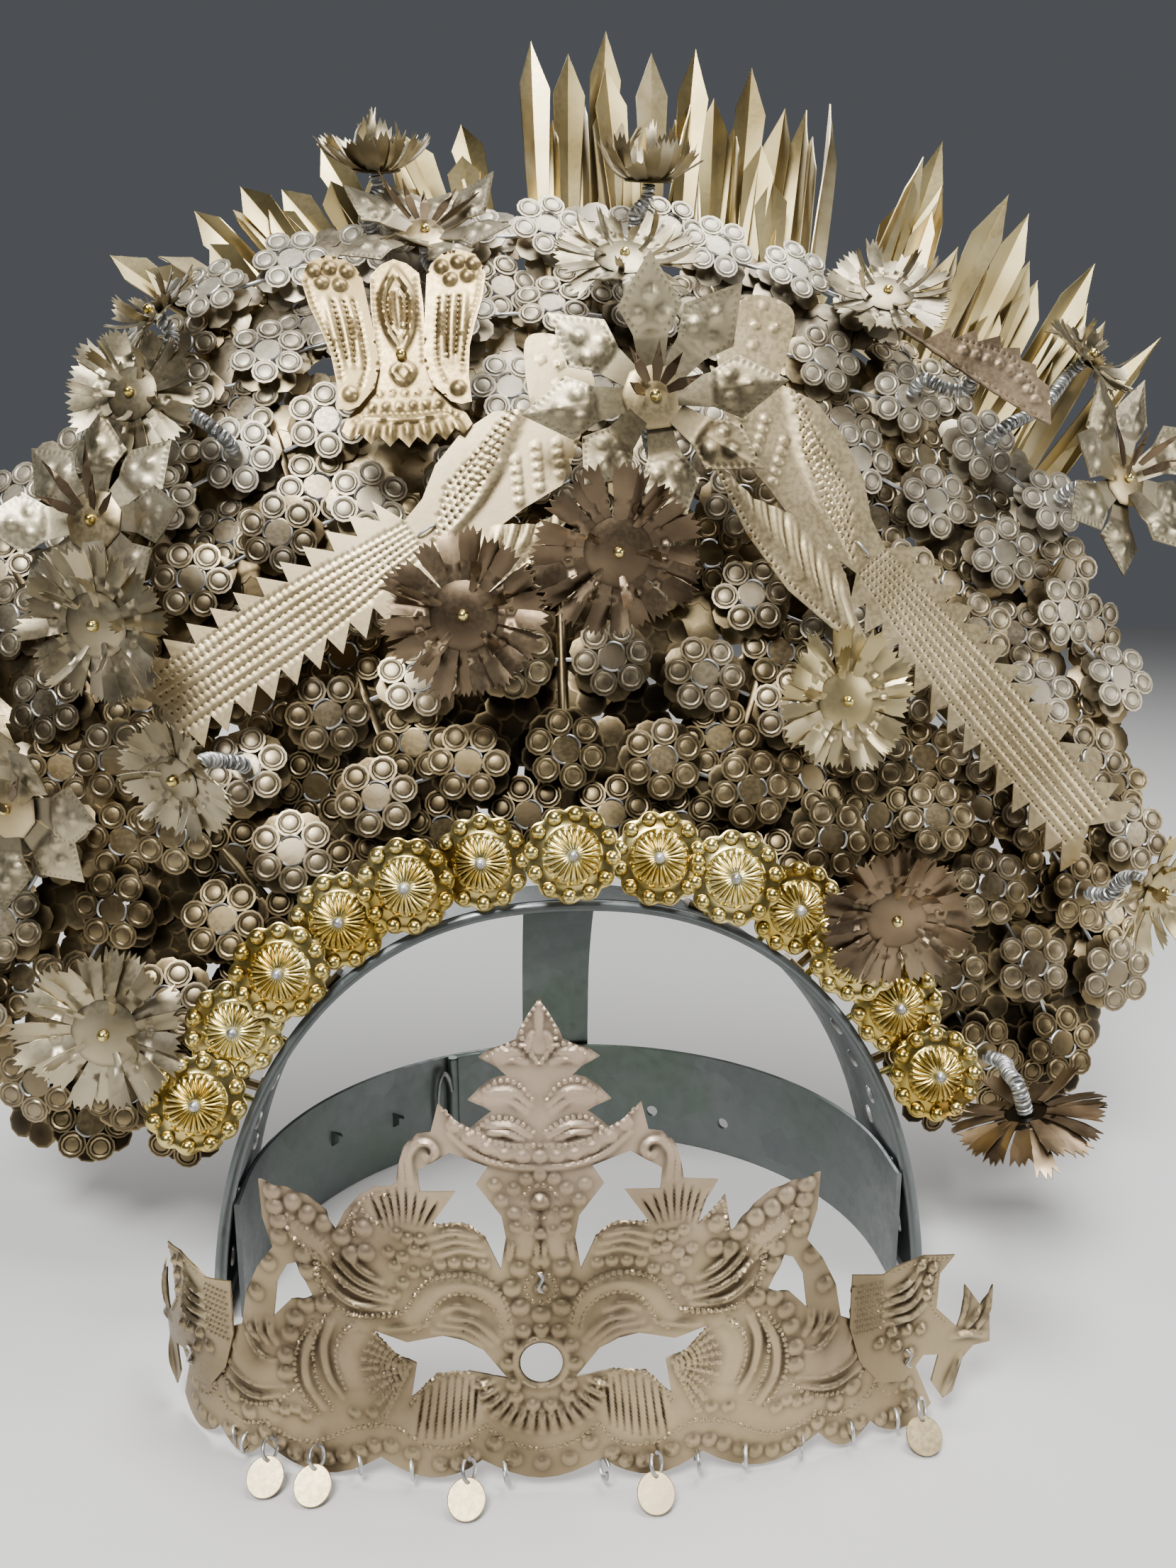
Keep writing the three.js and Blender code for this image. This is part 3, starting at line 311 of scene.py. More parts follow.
tree.links.new(rangeNode(tree, -1, 6, scratch, 0.3, 0.7, *zinc["rough"]), shader.inputs["Roughness"])
bump = addNode(tree, "ShaderNodeBump", 2, 6)
bump.inputs["Strength"].default_value = 0.08
bump.inputs["Distance"].default_value = 0.0004
tree.links.new(scratch, bump.inputs["Height"])
tree.links.new(bump.outputs["Normal"], shader.inputs["Normal"])
looks["zincSheet"] = zincLook

# drawn steel wire of springs and ties
wireSteel = {"light": tint(206, 207, 205), "dark": tint(156, 157, 156)}
wireLook = bpy.data.materials.new("drawnSteel")
wireLook.use_nodes = True
tree = wireLook.node_tree
shader = tree.nodes["Principled BSDF"]
shader.location = (900, 0)
shader.inputs["Metallic"].default_value = 0.95
coords = addNode(tree, "ShaderNodeTexCoord", -4, 2)
blotch = noiseNode(tree, -3, 1, coords.outputs["Object"], 240, 4)
spread = rangeNode(tree, -1, 1, blotch, 0.35, 0.65)
tree.links.new(mixColour(tree, 1, 1, spread, wireSteel["dark"], wireSteel["light"]), shader.inputs["Base Color"])
tree.links.new(rangeNode(tree, 1, 3, blotch, 0.3, 0.7, 0.34, 0.52), shader.inputs["Roughness"])
looks["drawnSteel"] = wireLook
print("finishes are mixed:", ", ".join(looks))


# modelling helpers
def clearSelection():
    bpy.ops.object.select_all(action="DESELECT")


def readPoints(form):
    points = np.zeros(len(form.data.vertices) * 3)
    form.data.vertices.foreach_get("co", points)
    return points.reshape(-1, 3)


def writePoints(form, points):
    form.data.vertices.foreach_set("co", np.ascontiguousarray(points, dtype=np.float64).ravel())
    form.data.update()


def paint(form, attribute, values):
    layer = form.data.attributes.get(attribute) or form.data.attributes.new(attribute, "FLOAT", "POINT")
    count = len(form.data.vertices)
    layer.data.foreach_set("value", np.broadcast_to(np.asarray(values, dtype=np.float32), (count,)).copy())


def readPaint(form, attribute):
    values = np.zeros(len(form.data.vertices), dtype=np.float32)
    form.data.attributes[attribute].data.foreach_get("value", values)
    return values


def smoothEdges(form, angle=38):
    clearSelection()
    form.select_set(True)
    bpy.context.view_layer.objects.active = form
    bpy.ops.object.shade_smooth_by_angle(angle=math.radians(angle))


def turnedForm(name, profile, sides, look):
    # a disc grown ring by ring from its back: rows of (radius, height)
    clearSelection()
    radius, height = profile[0]
    bpy.ops.mesh.primitive_circle_add(vertices=sides, radius=radius, fill_type="NGON", location=(0, 0, height))
    form = bpy.context.object
    form.name = name
    bpy.ops.object.transform_apply(location=True, rotation=True, scale=True)
    bpy.ops.object.mode_set(mode="EDIT")
    bpy.ops.mesh.select_all(action="SELECT")
    for nextRadius, nextHeight in profile[1:]:
        rise = {"value": (0, 0, nextHeight - height)}
        bpy.ops.mesh.extrude_region_move(TRANSFORM_OT_translate=rise)
        if nextRadius == 0:
            bpy.ops.mesh.merge(type="CENTER")
            break
        grow = nextRadius / radius
        bpy.ops.transform.resize(value=(grow, grow, 1), center_override=(0, 0, nextHeight))
        radius, height = nextRadius, nextHeight
    bpy.ops.mesh.select_all(action="SELECT")
    bpy.ops.mesh.normals_make_consistent(inside=False)
    bpy.ops.object.mode_set(mode="OBJECT")
    # painted shade: relief follows height, so the lower rows of each turned form are darkened
    points = readPoints(form)
    low, high = points[:, 2].min(), points[:, 2].max()
    paint(form, "relief", (points[:, 2] - low) / max(high - low, 1e-6))
    paint(form, "tone", 0)
    form.data.materials.append(looks[look])
    smoothEdges(form)
    return form


def wireForm(name, lines, radius, look, resolution=1, closed=False):
    # round wires along point lists, as one mesh
    curve = bpy.data.curves.new(name, "CURVE")
    curve.dimensions = "3D"
    curve.bevel_depth = radius
    curve.bevel_resolution = resolution
    curve.use_fill_caps = True
    for line in lines:
        spline = curve.splines.new("POLY")
        spline.points.add(len(line) - 1)
        for spot, point in zip(spline.points, line):
            spot.co = (*point, 1)
        spline.use_cyclic_u = closed
    form = bpy.data.objects.new(name, curve)
    bpy.context.collection.objects.link(form)
    clearSelection()
    form.select_set(True)
    bpy.context.view_layer.objects.active = form
    bpy.ops.object.convert(target="MESH")
    form = bpy.context.object
    form.data.materials.clear()
    form.data.materials.append(looks[look])
    paint(form, "relief", 0.6)
    paint(form, "tone", 0)
    smoothEdges(form, 60)
    return form


def smoothLine(points, count):
    # a soft line through the given points
    points = np.asarray(points, dtype=float)
    padded = np.vstack([2 * points[0] - points[1], points, 2 * points[-1] - points[-2]])
    spans = len(points) - 1
    places = np.linspace(0, spans, count)
    index = np.minimum(places.astype(int), spans - 1)
    t = (places - index)[:, None]
    p0, p1, p2, p3 = (padded[index + k] for k in range(4))
    squared, cubed = 2 * p0 - 5 * p1 + 4 * p2 - p3, 3 * p1 - p0 - 3 * p2 + p3
    return 0.5 * (2 * p1 + (p2 - p0) * t + squared * t ** 2 + cubed * t ** 3)


def lineLength(points):
    return float(np.linalg.norm(np.diff(np.asarray(points, dtype=float), axis=0), axis=1).sum())


def evenLine(points, step):
    # the same line with even steps
    points = np.asarray(points, dtype=float)
    along = np.concatenate([[0], np.cumsum(np.linalg.norm(np.diff(points, axis=0), axis=1))])
    count = max(2, int(round(along[-1] / step)) + 1)
    wanted = np.linspace(0, along[-1], count)
    return np.stack([np.interp(wanted, along, points[:, axis]) for axis in range(points.shape[1])], axis=1)


def dotLine(points, pitch, radius, height):
    # a row of punched dots along a soft line
    soft = smoothLine(points, 12 * len(points))
    return [(u, v, radius, height) for u, v in evenLine(soft, pitch)]


def ridgeLine(points, width, height):
    return {"line": smoothLine(points, 5 * len(points)), "width": width, "height": height}


def reliefAt(flat, domes, ridges):
    # height of the beaten ornament at each flat point; what has a negative height is punched in
    base, top, sunk = np.zeros(len(flat)), np.zeros(len(flat)), np.zeros(len(flat))
    for ridge in ridges:
        line, width = ridge["line"], ridge["width"]
        low, high = line.min(0) - 2.5 * width, line.max(0) + 2.5 * width
        near = np.where(((flat >= low) & (flat <= high)).all(1))[0]
        if not len(near):
            continue
        start, step = line[:-1], np.diff(line, axis=0)
        offset = flat[near][:, None, :] - start[None]
        share = np.clip((offset * step).sum(2) / np.maximum((step ** 2).sum(1), 1e-9), 0, 1)
        away = np.linalg.norm(offset - share[..., None] * step[None], axis=2)
        closest = away.argmin(1)
        rows = np.arange(len(near))
        along = (closest + share[rows, closest]) / len(step)
        taper = np.sqrt(np.sin(np.pi * np.clip(along, 0.04, 0.96)))
        lift = ridge["height"] * taper * np.exp(-((away[rows, closest] / width) ** 2))
        if ridge["height"] > 0:
            base[near] = np.maximum(base[near], lift)
        else:
            sunk[near] = np.minimum(sunk[near], lift)
    if len(domes):
        tree = KDTree(len(flat))
        for index, (u, v) in enumerate(flat):
            tree.insert((u, v, 0), index)
        tree.balance()
        for u, v, radius, rise in domes:
            for _, index, away in tree.find_range((u, v, 0), radius):
                lift = rise * (1 - (away / radius) ** 2) ** 1.4
                if rise > 0:
                    top[index] = max(top[index], lift)
                else:
                    sunk[index] = min(sunk[index], lift)
    return np.maximum(base, top + 0.85 * base) + sunk


def hollows(form, height, spacing):
    # how far each point stands over or under the softened sheet round it; low values get painted shade
    reach, gain, level = 1.3, 1.7, 0.5
    edges = np.zeros(2 * len(form.data.edges), dtype=np.int64)
    form.data.edges.foreach_get("vertices", edges)
    first, second = edges.reshape(-1, 2).T
    count = len(height)
    joints = np.maximum(np.bincount(edges, minlength=count), 1)
    soft = height.copy()
    for _ in range(max(3, int(2 * (reach / spacing) ** 2))):
        around = np.bincount(first, soft[second], count) + np.bincount(second, soft[first], count)
        soft = 0.5 * soft + 0.5 * around / joints
    return np.clip(level + gain * (height - soft), 0, 1)


def cutLoop(points, spacing):
    # a closed outline with its corners kept and its sides divided
    points = np.asarray(points, dtype=float)
    loop = []
    for start, end in zip(points, np.roll(points, -1, axis=0)):
        parts = max(1, int(round(np.linalg.norm(end - start) / spacing)))
        loop.extend(start + (end - start) * k / parts for k in range(parts))
    return np.array(loop)


def insideLoop(spots, loop):
    # which spots lie inside a closed outline
    inside = np.zeros(len(spots), dtype=bool)
    for (u0, v0), (u1, v1) in zip(loop, np.roll(loop, -1, axis=0)):
        if v0 == v1:
            continue
        crosses = (spots[:, 1] < v0) != (spots[:, 1] < v1)
        at = u0 + (spots[:, 1] - v0) / (v1 - v0) * (u1 - u0)
        inside ^= crosses & (spots[:, 0] < at)
    return inside


def embossedSheet(name, outline, look, holes=(), spacing=1.0, domes=(), ridges=(), thick=0.4, warp=None, crease=()):
    # a cut sheet with its ornament beaten up from behind, laid flat or carried by warp(u, v, height)
    loops = [cutLoop(loop, spacing) for loop in (outline, *holes)]
    marks = []
    for u, v, radius, _ in domes:
        marks.append((u, v))
        if radius < 1.3 * spacing:
            marks.extend((u + radius * math.cos(a), v + radius * math.sin(a)) for a in np.arange(6) * math.pi / 3)
    fold = evenLine(np.array(crease, dtype=float), spacing) if len(crease) else np.zeros((0, 2))
    fixed = np.vstack([*loops, fold, np.array(marks).reshape(-1, 2)])
    low, high = loops[0].min(0), loops[0].max(0)
    rowStep = spacing * 0.866
    grid = []
    for row in range(int((high[1] - low[1]) / rowStep) + 2):
        start = low[0] + (spacing / 2 if row % 2 else 0)
        line = np.arange(start, high[0] + spacing, spacing)
        grid.append(np.stack([line, np.full(len(line), low[1] + row * rowStep)], axis=1))
    grid = np.vstack(grid)
    grid = grid[insideLoop(grid, loops[0])]
    tree = KDTree(len(fixed))
    for index, (u, v) in enumerate(fixed):
        tree.insert((u, v, 0), index)
    tree.balance()
    grid = np.array([p for p in grid if tree.find((p[0], p[1], 0))[2] > 0.62 * spacing]).reshape(-1, 2)
    spots = [Vector(spot) for spot in np.vstack([fixed, grid])]
    edges = []
    first = 0
    for loop in loops:
        edges.extend((first + k, first + (k + 1) % len(loop)) for k in range(len(loop)))
        first += len(loop)
    edges.extend((first + k, first + k + 1) for k in range(len(fold) - 1))
    joined, _, faces, _, _, _ = delaunay_2d_cdt(spots, edges, [], 0, 1e-5)
    flat = np.array([(spot.x, spot.y) for spot in joined])
    middles = flat[np.array(faces)].mean(1)
    kept = insideLoop(middles, np.asarray(outline, dtype=float))
    for hole in holes:
        kept &= ~insideLoop(middles, np.asarray(hole, dtype=float))
    faces = [face for face, stays in zip(faces, kept) if stays]
    height = reliefAt(flat, domes, ridges)
    points = np.column_stack([flat, height]) if warp is None else warp(flat[:, 0], flat[:, 1], height)
    mesh = bpy.data.meshes.new(name)
    mesh.from_pydata(points.tolist(), [], faces)
    form = bpy.data.objects.new(name, mesh)
    bpy.context.collection.objects.link(form)
    # painted shade: punched and sunken parts of the sheet get low relief and so a darker colour
    paint(form, "relief", hollows(form, height, spacing))
    paint(form, "tone", 0)
    clearSelection()
    form.select_set(True)
    bpy.context.view_layer.objects.active = form
    bpy.ops.object.mode_set(mode="EDIT")
    bpy.ops.mesh.select_all(action="SELECT")
    bpy.ops.mesh.delete_loose()
    bpy.ops.mesh.select_all(action="SELECT")
    bpy.ops.mesh.normals_make_consistent(inside=False)
    bpy.ops.object.mode_set(mode="OBJECT")
    wall = form.modifiers.new("wall", "SOLIDIFY")
    wall.thickness = thick
    wall.offset = -1
    bpy.ops.object.modifier_apply(modifier=wall.name)
    form.data.materials.append(looks[look])
    smoothEdges(form, 42)
    return form


def copyOf(template, matrix, tone=None, reshape=None):
    piece = template.copy()
    piece.data = template.data.copy()
    bpy.context.collection.objects.link(piece)
    if reshape is not None:
        writePoints(piece, reshape(readPoints(piece)))
    piece.data.transform(matrix)
    if tone is not None:
        paint(piece, "tone", readPaint(piece, "tone") + tone)
    return piece


def joinAs(name, forms):
    clearSelection()
    for form in forms:
        form.select_set(True)
    bpy.context.view_layer.objects.active = forms[0]
    if len(forms) > 1:
        bpy.ops.object.join()
    piece = bpy.context.view_layer.objects.active
    piece.name = name
    piece.data.name = name
    return piece


def discard(*forms):
    for form in forms:
        mesh = form.data
        bpy.data.objects.remove(form)
        bpy.data.meshes.remove(mesh)


def setDown(piece, slot, *nodes):
    # from millimetres about the arch to the frame, then carried by the headdress
    piece.data.transform(toFrame)
    piece.data.update()
    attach(piece, "root")
    if nodes:
        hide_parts(*nodes)


def facing(place, normal, roll=0.0):
    z = Vector(normal).normalized()
    up = Vector((0, 1, 0)) if abs(z.z) > 0.97 else Vector((0, 0, 1))
    x = up.cross(z).normalized()
    y = z.cross(x)
    turn = Matrix((x, y, z)).transposed().to_4x4()
    return Matrix.Translation(place) @ turn @ Matrix.Rotation(roll, 4, "Z")


def basis(x, y, z, place):
    return Matrix.Translation(place) @ Matrix((x, y, z)).transposed().to_4x4()


# arch layout
def archCurve(turn):
    c, s = math.cos(turn), math.sin(turn)
    power = 2 / arch["power"]
    return Vector((arch["halfWidth"] * math.copysign(abs(c) ** power, c), arch["height"] * abs(s) ** power))


def archOut(turn):
    along = (archCurve(turn + 0.01) - archCurve(turn - 0.01)).normalized()
    return Vector((along.y, -along.x))


def leaned(x, up, back):
    s, c = math.sin(arch["lean"]), math.cos(arch["lean"])
    return Vector((x, up * s + back * c, up * c - back * s))


# head frame: a band with a rolled front rim, swept round the arch and cut level at its feet
band = {"stations": 150, "sheet": 1.2, "roll": 1.5, "rollSides": 9, "drop": 9}


def loftForm(name, rings, look, closedRing=True, angle=38):
    # skin over rows of points, closed at both ends
    count = len(rings[0])
    points = [tuple(p) for ring in rings for p in ring]
    faces = []
    for row in range(len(rings) - 1):
        for k in range(count):
            a, b = row * count + k, row * count + (k + 1) % count
            faces.append((a, b, b + count, a + count))
    faces.append(tuple(range(count))[::-1])
    last = (len(rings) - 1) * count
    faces.append(tuple(range(last, last + count)))
    mesh = bpy.data.meshes.new(name)
    mesh.from_pydata(points, [], faces)
    form = bpy.data.objects.new(name, mesh)
    bpy.context.collection.objects.link(form)
    form.data.materials.append(looks[look])
    clearSelection()
    form.select_set(True)
    bpy.context.view_layer.objects.active = form
    bpy.ops.object.mode_set(mode="EDIT")
    bpy.ops.mesh.select_all(action="SELECT")
    bpy.ops.mesh.normals_make_consistent(inside=False)
    bpy.ops.object.mode_set(mode="OBJECT")
    paint(form, "relief", 0.7)
    paint(form, "tone", 0)
    smoothEdges(form, angle)
    return form


def bandSection():
    # the band's cross section: (outward, backward), with the rolled bead at the front
    section = [(0.0, arch["depth"]), (band["sheet"], arch["depth"]), (band["sheet"], 2.6)]
    for k in range(band["rollSides"] + 1):
        turn = math.radians(60 - 300 * k / band["rollSides"])
        section.append((0.6 + band["roll"] * math.sin(turn), 0.75 - band["roll"] * -math.cos(turn)))
    section.append((0.0, 2.6))
    return section


section = bandSection()
rings = []
for turnShare in np.linspace(0, 1, band["stations"]):
    turn = math.pi * turnShare
    at = archCurve(turn)
    out = archOut(turn) if 0 < turnShare < 1 else Vector((1 if turn < 1 else -1, 0))
    rings.append([leaned(at.x + out.x * off, at.y + out.y * off, back) for off, back in section])
for side, end in ((1, 0), (-1, len(rings))):
    foot = [leaned(side * (arch["halfWidth"] + off), -band["drop"], back) for off, back in section]
    rings.insert(0 if side > 0 else len(rings), foot)
archForm = loftForm("arch_band", rings, "zincSheet")
clearSelection()
archForm.select_set(True)
bpy.context.view_layer.objects.active = archForm
bpy.ops.object.mode_set(mode="EDIT")
bpy.ops.mesh.select_all(action="SELECT")
bpy.ops.mesh.bisect(plane_co=(0, 0, 0), plane_no=(0, 0, 1), use_fill=True, clear_inner=True)
bpy.ops.object.mode_set(mode="OBJECT")

# punched tabs inside the legs
tabs = {"length": 5.0, "width": 1.5, "lift": 0.9}
tabRows = [
    {"turn": 38, "back": 12}, {"turn": 31, "back": 15}, {"turn": 25, "back": 12}, {"turn": 20, "back": 20},
    {"turn": 14, "back": 9}, {"turn": 9, "back": 24}, {"turn": 6, "back": 10}, {"turn": 5, "back": 30},
]
tabForm = turnedForm("tab", [(1.0, -0.3), (1.0, 0.3), (0.75, 0.75), (0, 0.9)], 10, "drawnSteel")
tabPieces = []
for row in tabRows:
    for side in (1, -1):
        turn = math.radians(row["turn"])
        at, out = archCurve(turn), archOut(turn)
        spot = leaned(side * (at.x - out.x * 0.1), at.y - out.y * 0.1, row["back"])
        inward = leaned(-side * out.x, -out.y, 0)
        stretch = Matrix.Diagonal((tabs["width"] / 2, tabs["length"] / 2, tabs["lift"], 1))
        tabPieces.append(copyOf(tabForm, facing(spot, inward, 0.4 * side) @ stretch))
discard(tabForm)
archPiece = joinAs("arch_band", [archForm, *tabPieces])
setDown(archPiece, "steel", "front_arch")

# crown strip and the two back straps
crown = {"width": 20, "sheet": 1.2, "under": 0.8}
strap = {
    "halfWidth": 80, "start": 5, "bend": 15, "reachRight": 86.6, "reachLeft": 88.4, "height": 30, "sheet": 1.2,
    "right": 113, "left": 82, "steps": 60, "seat": 0.3, "hole": 1.7, "holes": ((68.3, 9.3), (51.5, 9.6)),
}


def strapForm(name, line):
    # a flat band on edge along a plan line, its corners eased
    line = np.asarray(line)
    along = np.gradient(line, axis=0)
    along /= np.linalg.norm(along, axis=1)[:, None]
    across = np.stack([-along[:, 1], along[:, 0]], axis=1) * strap["sheet"] / 2
    ease = 0.35
    rings = []
    for spot, off in zip(line, across):
        corners = []
        for sign, z in ((1, 0.02), (1, strap["height"] - ease), (0, strap["height"]), (-1, strap["height"] - ease), (-1, 0.02)):
            corners.append((spot[0] + sign * off[0], spot[1] + sign * off[1], z))
        rings.append(corners)
    return loftForm(name, rings, "zincSheet")


def strapLine(side, reach, end):
    line = [(side * strap["halfWidth"], strap["start"])]
    for share in np.linspace(0, 1, strap["steps"]):
        turn = math.radians(end * share)
        line.append((side * strap["halfWidth"] * math.cos(turn), strap["bend"] + (reach - strap["bend"]) * math.sin(turn)))
    return line


rightLine = strapLine(1, strap["reachRight"], strap["right"])
rightStrap = strapForm("strap_right", rightLine)
for turn, up in strap["holes"]:
    # lashing holes through the band
    turn = math.radians(turn)
    reach = strap["reachRight"] - strap["bend"]
    spot = Vector((strap["halfWidth"] * math.cos(turn), strap["bend"] + reach * math.sin(turn), up))
    clearSelection()
    bpy.ops.mesh.primitive_cylinder_add(vertices=20, radius=strap["hole"], depth=8)
    drill = bpy.context.object
    drill.data.transform(facing(spot, (reach * math.cos(turn), strap["halfWidth"] * math.sin(turn), 0)))
    cut = rightStrap.modifiers.new("hole", "BOOLEAN")
    cut.operation = "DIFFERENCE"
    cut.solver = "EXACT"
    cut.object = drill
    clearSelection()
    rightStrap.select_set(True)
    bpy.context.view_layer.objects.active = rightStrap
    bpy.ops.object.modifier_apply(modifier=cut.name)
    discard(drill)
loopAt = rightLine[-1]
loopForm = turnedForm("strap_loop", [(1.3, 0), (1.6, 0.3), (1.6, 29.7), (1.3, 30)], 14, "zincSheet")
loopPiece = copyOf(loopForm, Matrix.Translation((loopAt[0], loopAt[1] - 0.9, 0.02)))
hookRing = [(loopAt[0] - 2.5 + 2.2 * math.cos(a), loopAt[1] - 3.2, 15 + 11 * math.sin(a)) for a in np.linspace(0.5, 5.8, 26)]
hookLoop = wireForm("hook_loop", [hookRing], 0.7, "drawnSteel")
rightPiece = joinAs("strap_right_band", [rightStrap, loopPiece, hookLoop])
setDown(rightPiece, "steel", "back_strap_right")
leftLine = strapLine(-1, strap["reachLeft"], strap["left"])
leftStrap = strapForm("strap_left", leftLine)

# two punched hooks on the left strap
hookForm = turnedForm("hook", [(2.6, -0.4), (2.6, 0.2), (1.2, 1.9), (0, 2.1)], 3, "zincSheet")
hookPieces = []
for index, up in ((27, 17.6), (39, 14.5)):
    spot = leftLine[index]
    inward = Vector((-spot[0], 20 - spot[1], 0)).normalized()
    hookPieces.append(copyOf(hookForm, facing(Vector((spot[0], spot[1], up)) + inward * 0.6, inward, 0.5)))
leftPiece = joinAs("strap_left_band", [leftStrap, *hookPieces])
setDown(leftPiece, "steel", "back_strap_left")
discard(loopForm, hookForm)

crownTop = arch["height"] - crown["under"] - crown["sheet"] / 2
crownStart = leaned(0, crownTop, arch["depth"] - 16)
crownEdge = leaned(0, crownTop, arch["depth"])
crownBack = strap["reachRight"] + strap["sheet"] / 2 + strap["seat"] + crown["sheet"] / 2
crownBend = smoothLine([
    (crownEdge.y, crownEdge.z), (crownEdge.y + 14, crownEdge.z - 9), (crownBack - 5, 58), (crownBack, 36),
], 40)
crownLine = np.vstack([[(crownStart.y, crownStart.z)], crownBend, [(crownBack, 3)]])
along = np.gradient(crownLine, axis=0)
along /= np.linalg.norm(along, axis=1)[:, None]
rings = []
for (y, z), (dy, dz) in zip(crownLine, along):
    off = (-dz * crown["sheet"] / 2, dy * crown["sheet"] / 2)
    half = crown["width"] / 2
    rings.append([
        (-half, y - off[0], z - off[1]), (half, y - off[0], z - off[1]),
        (half, y + off[0], z + off[1]), (-half, y + off[0], z + off[1]),
    ])
crownPiece = joinAs("crown_band", [loftForm("crown_band", rings, "zincSheet")])
setDown(crownPiece, "steel", "crown_strip")
print("head frame is bent")


# rim rosettes: a scalloped flange with a ring of balls, a fluted lens and a bead on a pin
rosette = {
    "count": 13, "first": math.radians(28), "lobes": 12, "scallop": 0.09, "headOut": 13.2, "pinOut": 8.4,
    "near": -5, "far": -2, "stemBack": 11, "stem": 0.9, "sides": 96, "flutes": 24, "fluteDeep": 0.3,
    "hub": 1.6, "lens": 6.9, "ballAt": 9.6, "roll": math.radians(9), "beadLift": 2.2,
}
rosetteProfile = [
    (11.6, -0.4), (11.6, 0.0), (11.2, 0.2), (9.4, 0.1), (7.3, 0.1), (6.9, 0.35), (6.5, 0.8), (5.6, 1.25),
    (4.2, 1.75), (2.8, 2.1), (1.7, 2.25), (0, 2.25),
]
rosetteForm = turnedForm("rosette", rosetteProfile, rosette["sides"], "brightGold")
points = readPoints(rosetteForm)
reach = np.hypot(points[:, 0], points[:, 1])
turn = np.arctan2(points[:, 1], points[:, 0])
wave = 2 * np.abs(np.sin(rosette["flutes"] * turn / 2)) - 1
onLens = np.clip((reach - rosette["hub"]) / 1.5, 0, 1) * np.clip((rosette["lens"] - reach) / 0.5, 0, 1)
onLens *= points[:, 2] > 0.3
points[:, 2] += rosette["fluteDeep"] * onLens * wave
atEdge = np.clip((reach - 9.5) / 2, 0, 1)
scallop = 1 - rosette["scallop"] * atEdge * (1 - np.abs(np.cos(rosette["lobes"] * turn / 2)))
points[:, 0] *= scallop
points[:, 1] *= scallop
writePoints(rosetteForm, points)
# painted shade: the flute grooves and the low flange get low relief and so a darker colour
paint(rosetteForm, "relief", np.clip(0.5 + 0.4 * onLens * wave - 0.15 * (points[:, 2] < 0.15), 0, 1))
smoothEdges(rosetteForm, 50)
ballForm = turnedForm("ball", [(1.8, 0.0), (1.7, 0.6), (1.3, 1.25), (0.65, 1.65), (0, 1.75)], 12, "brightGold")
beadProfile = [(0.9, 0.0), (1.35, 0.7), (1.2, 1.4), (0.65, 1.9), (0, 2.05)]
beadForm = turnedForm("bead", beadProfile, 14, "brightGold")
silverBead = turnedForm("silver_bead", beadProfile, 14, "drawnSteel")
balls = []
for k in range(rosette["lobes"]):
    a = 2 * math.pi * k / rosette["lobes"]
    spot = (rosette["ballAt"] * math.cos(a), rosette["ballAt"] * math.sin(a), 0.1)
    balls.append(copyOf(ballForm, Matrix.Translation(spot)))
balls.append(copyOf(silverBead, Matrix.Translation((0, 0, rosette["beadLift"]))))
rosetteForm = joinAs("rosette", [rosetteForm, *balls])

for k in range(rosette["count"]):
    turn = rosette["first"] + (math.pi - 2 * rosette["first"]) * k / (rosette["count"] - 1)
    flat, out = archCurve(turn), archOut(turn)
    at = flat + out * rosette["headOut"]
    back = rosette["far"] if k % 2 else rosette["near"]
    face = leaned(0, 0, -1) + Vector((dice.uniform(-0.14, 0.14), 0, dice.uniform(-0.1, 0.14)))
    head = facing(leaned(at.x, at.y, back), face, rosette["roll"] * k)
    pin, low = flat + out * rosette["pinOut"], flat + out * (arch["sheet"] + 0.3)
    stemLine = [leaned(pin.x, pin.y, back), leaned(pin.x, pin.y, rosette["stemBack"] - 1)]
    stemLine.append(leaned(low.x, low.y, rosette["stemBack"]))
    stem = wireForm("stem", [stemLine], rosette["stem"], "brightGold")
    piece = joinAs("rim_flower_%02d" % (k + 1), [copyOf(rosetteForm, head, dice.uniform(-0.1, 0.6)), stem])
    setDown(piece, "gold", "rim_rosette_%02d" % (k + 1))
discard(rosetteForm, ballForm, silverBead)
print("rim rosettes are set")


# flower field: the fan surface and its rows
fan = {
    "radius": 160, "centreZ": 118, "lean": 0.3, "base": -6, "curve": 25, "lowest": 50,
    "tiltTop": math.radians(52), "tiltSide": math.radians(18), "skirt": 40, "clear": 19, "gap": 14.2, "deepGap": 10.5,
}
rows = {"count": 7, "start": 34, "step": 22.5, "pitch": 24.6}
facets = {"steps": 35, "ribs": [5, 9, 13, 17, 21, 25, 29], "back": 20}


def fanSpot(x, z):
    out = Vector((x, z - fan["centreZ"]))
    share = out.length / fan["radius"]
    t = min(1.0, max(0.0, (share - 0.5) / 0.5))
    upward = max(0.0, out.y / max(out.length, 1e-6)) ** 2
    tilt = t * t * (3 - 2 * t) * (fan["tiltSide"] + (fan["tiltTop"] - fan["tiltSide"]) * upward)
    out.normalize()
    normal = Vector((0, -1, fan["lean"])).normalized() * math.cos(tilt)
    normal = (normal + Vector((out.x, 0, out.y)) * math.sin(tilt)).normalized()
    return Vector((x, fan["lean"] * z + fan["base"] + fan["curve"] * share * share, z)), normal


def rowPoint(row, turn):
    off = rows["start"] + rows["step"] * row
    return (arch["halfWidth"] + off) * math.cos(turn), (arch["height"] + off) * math.sin(turn)


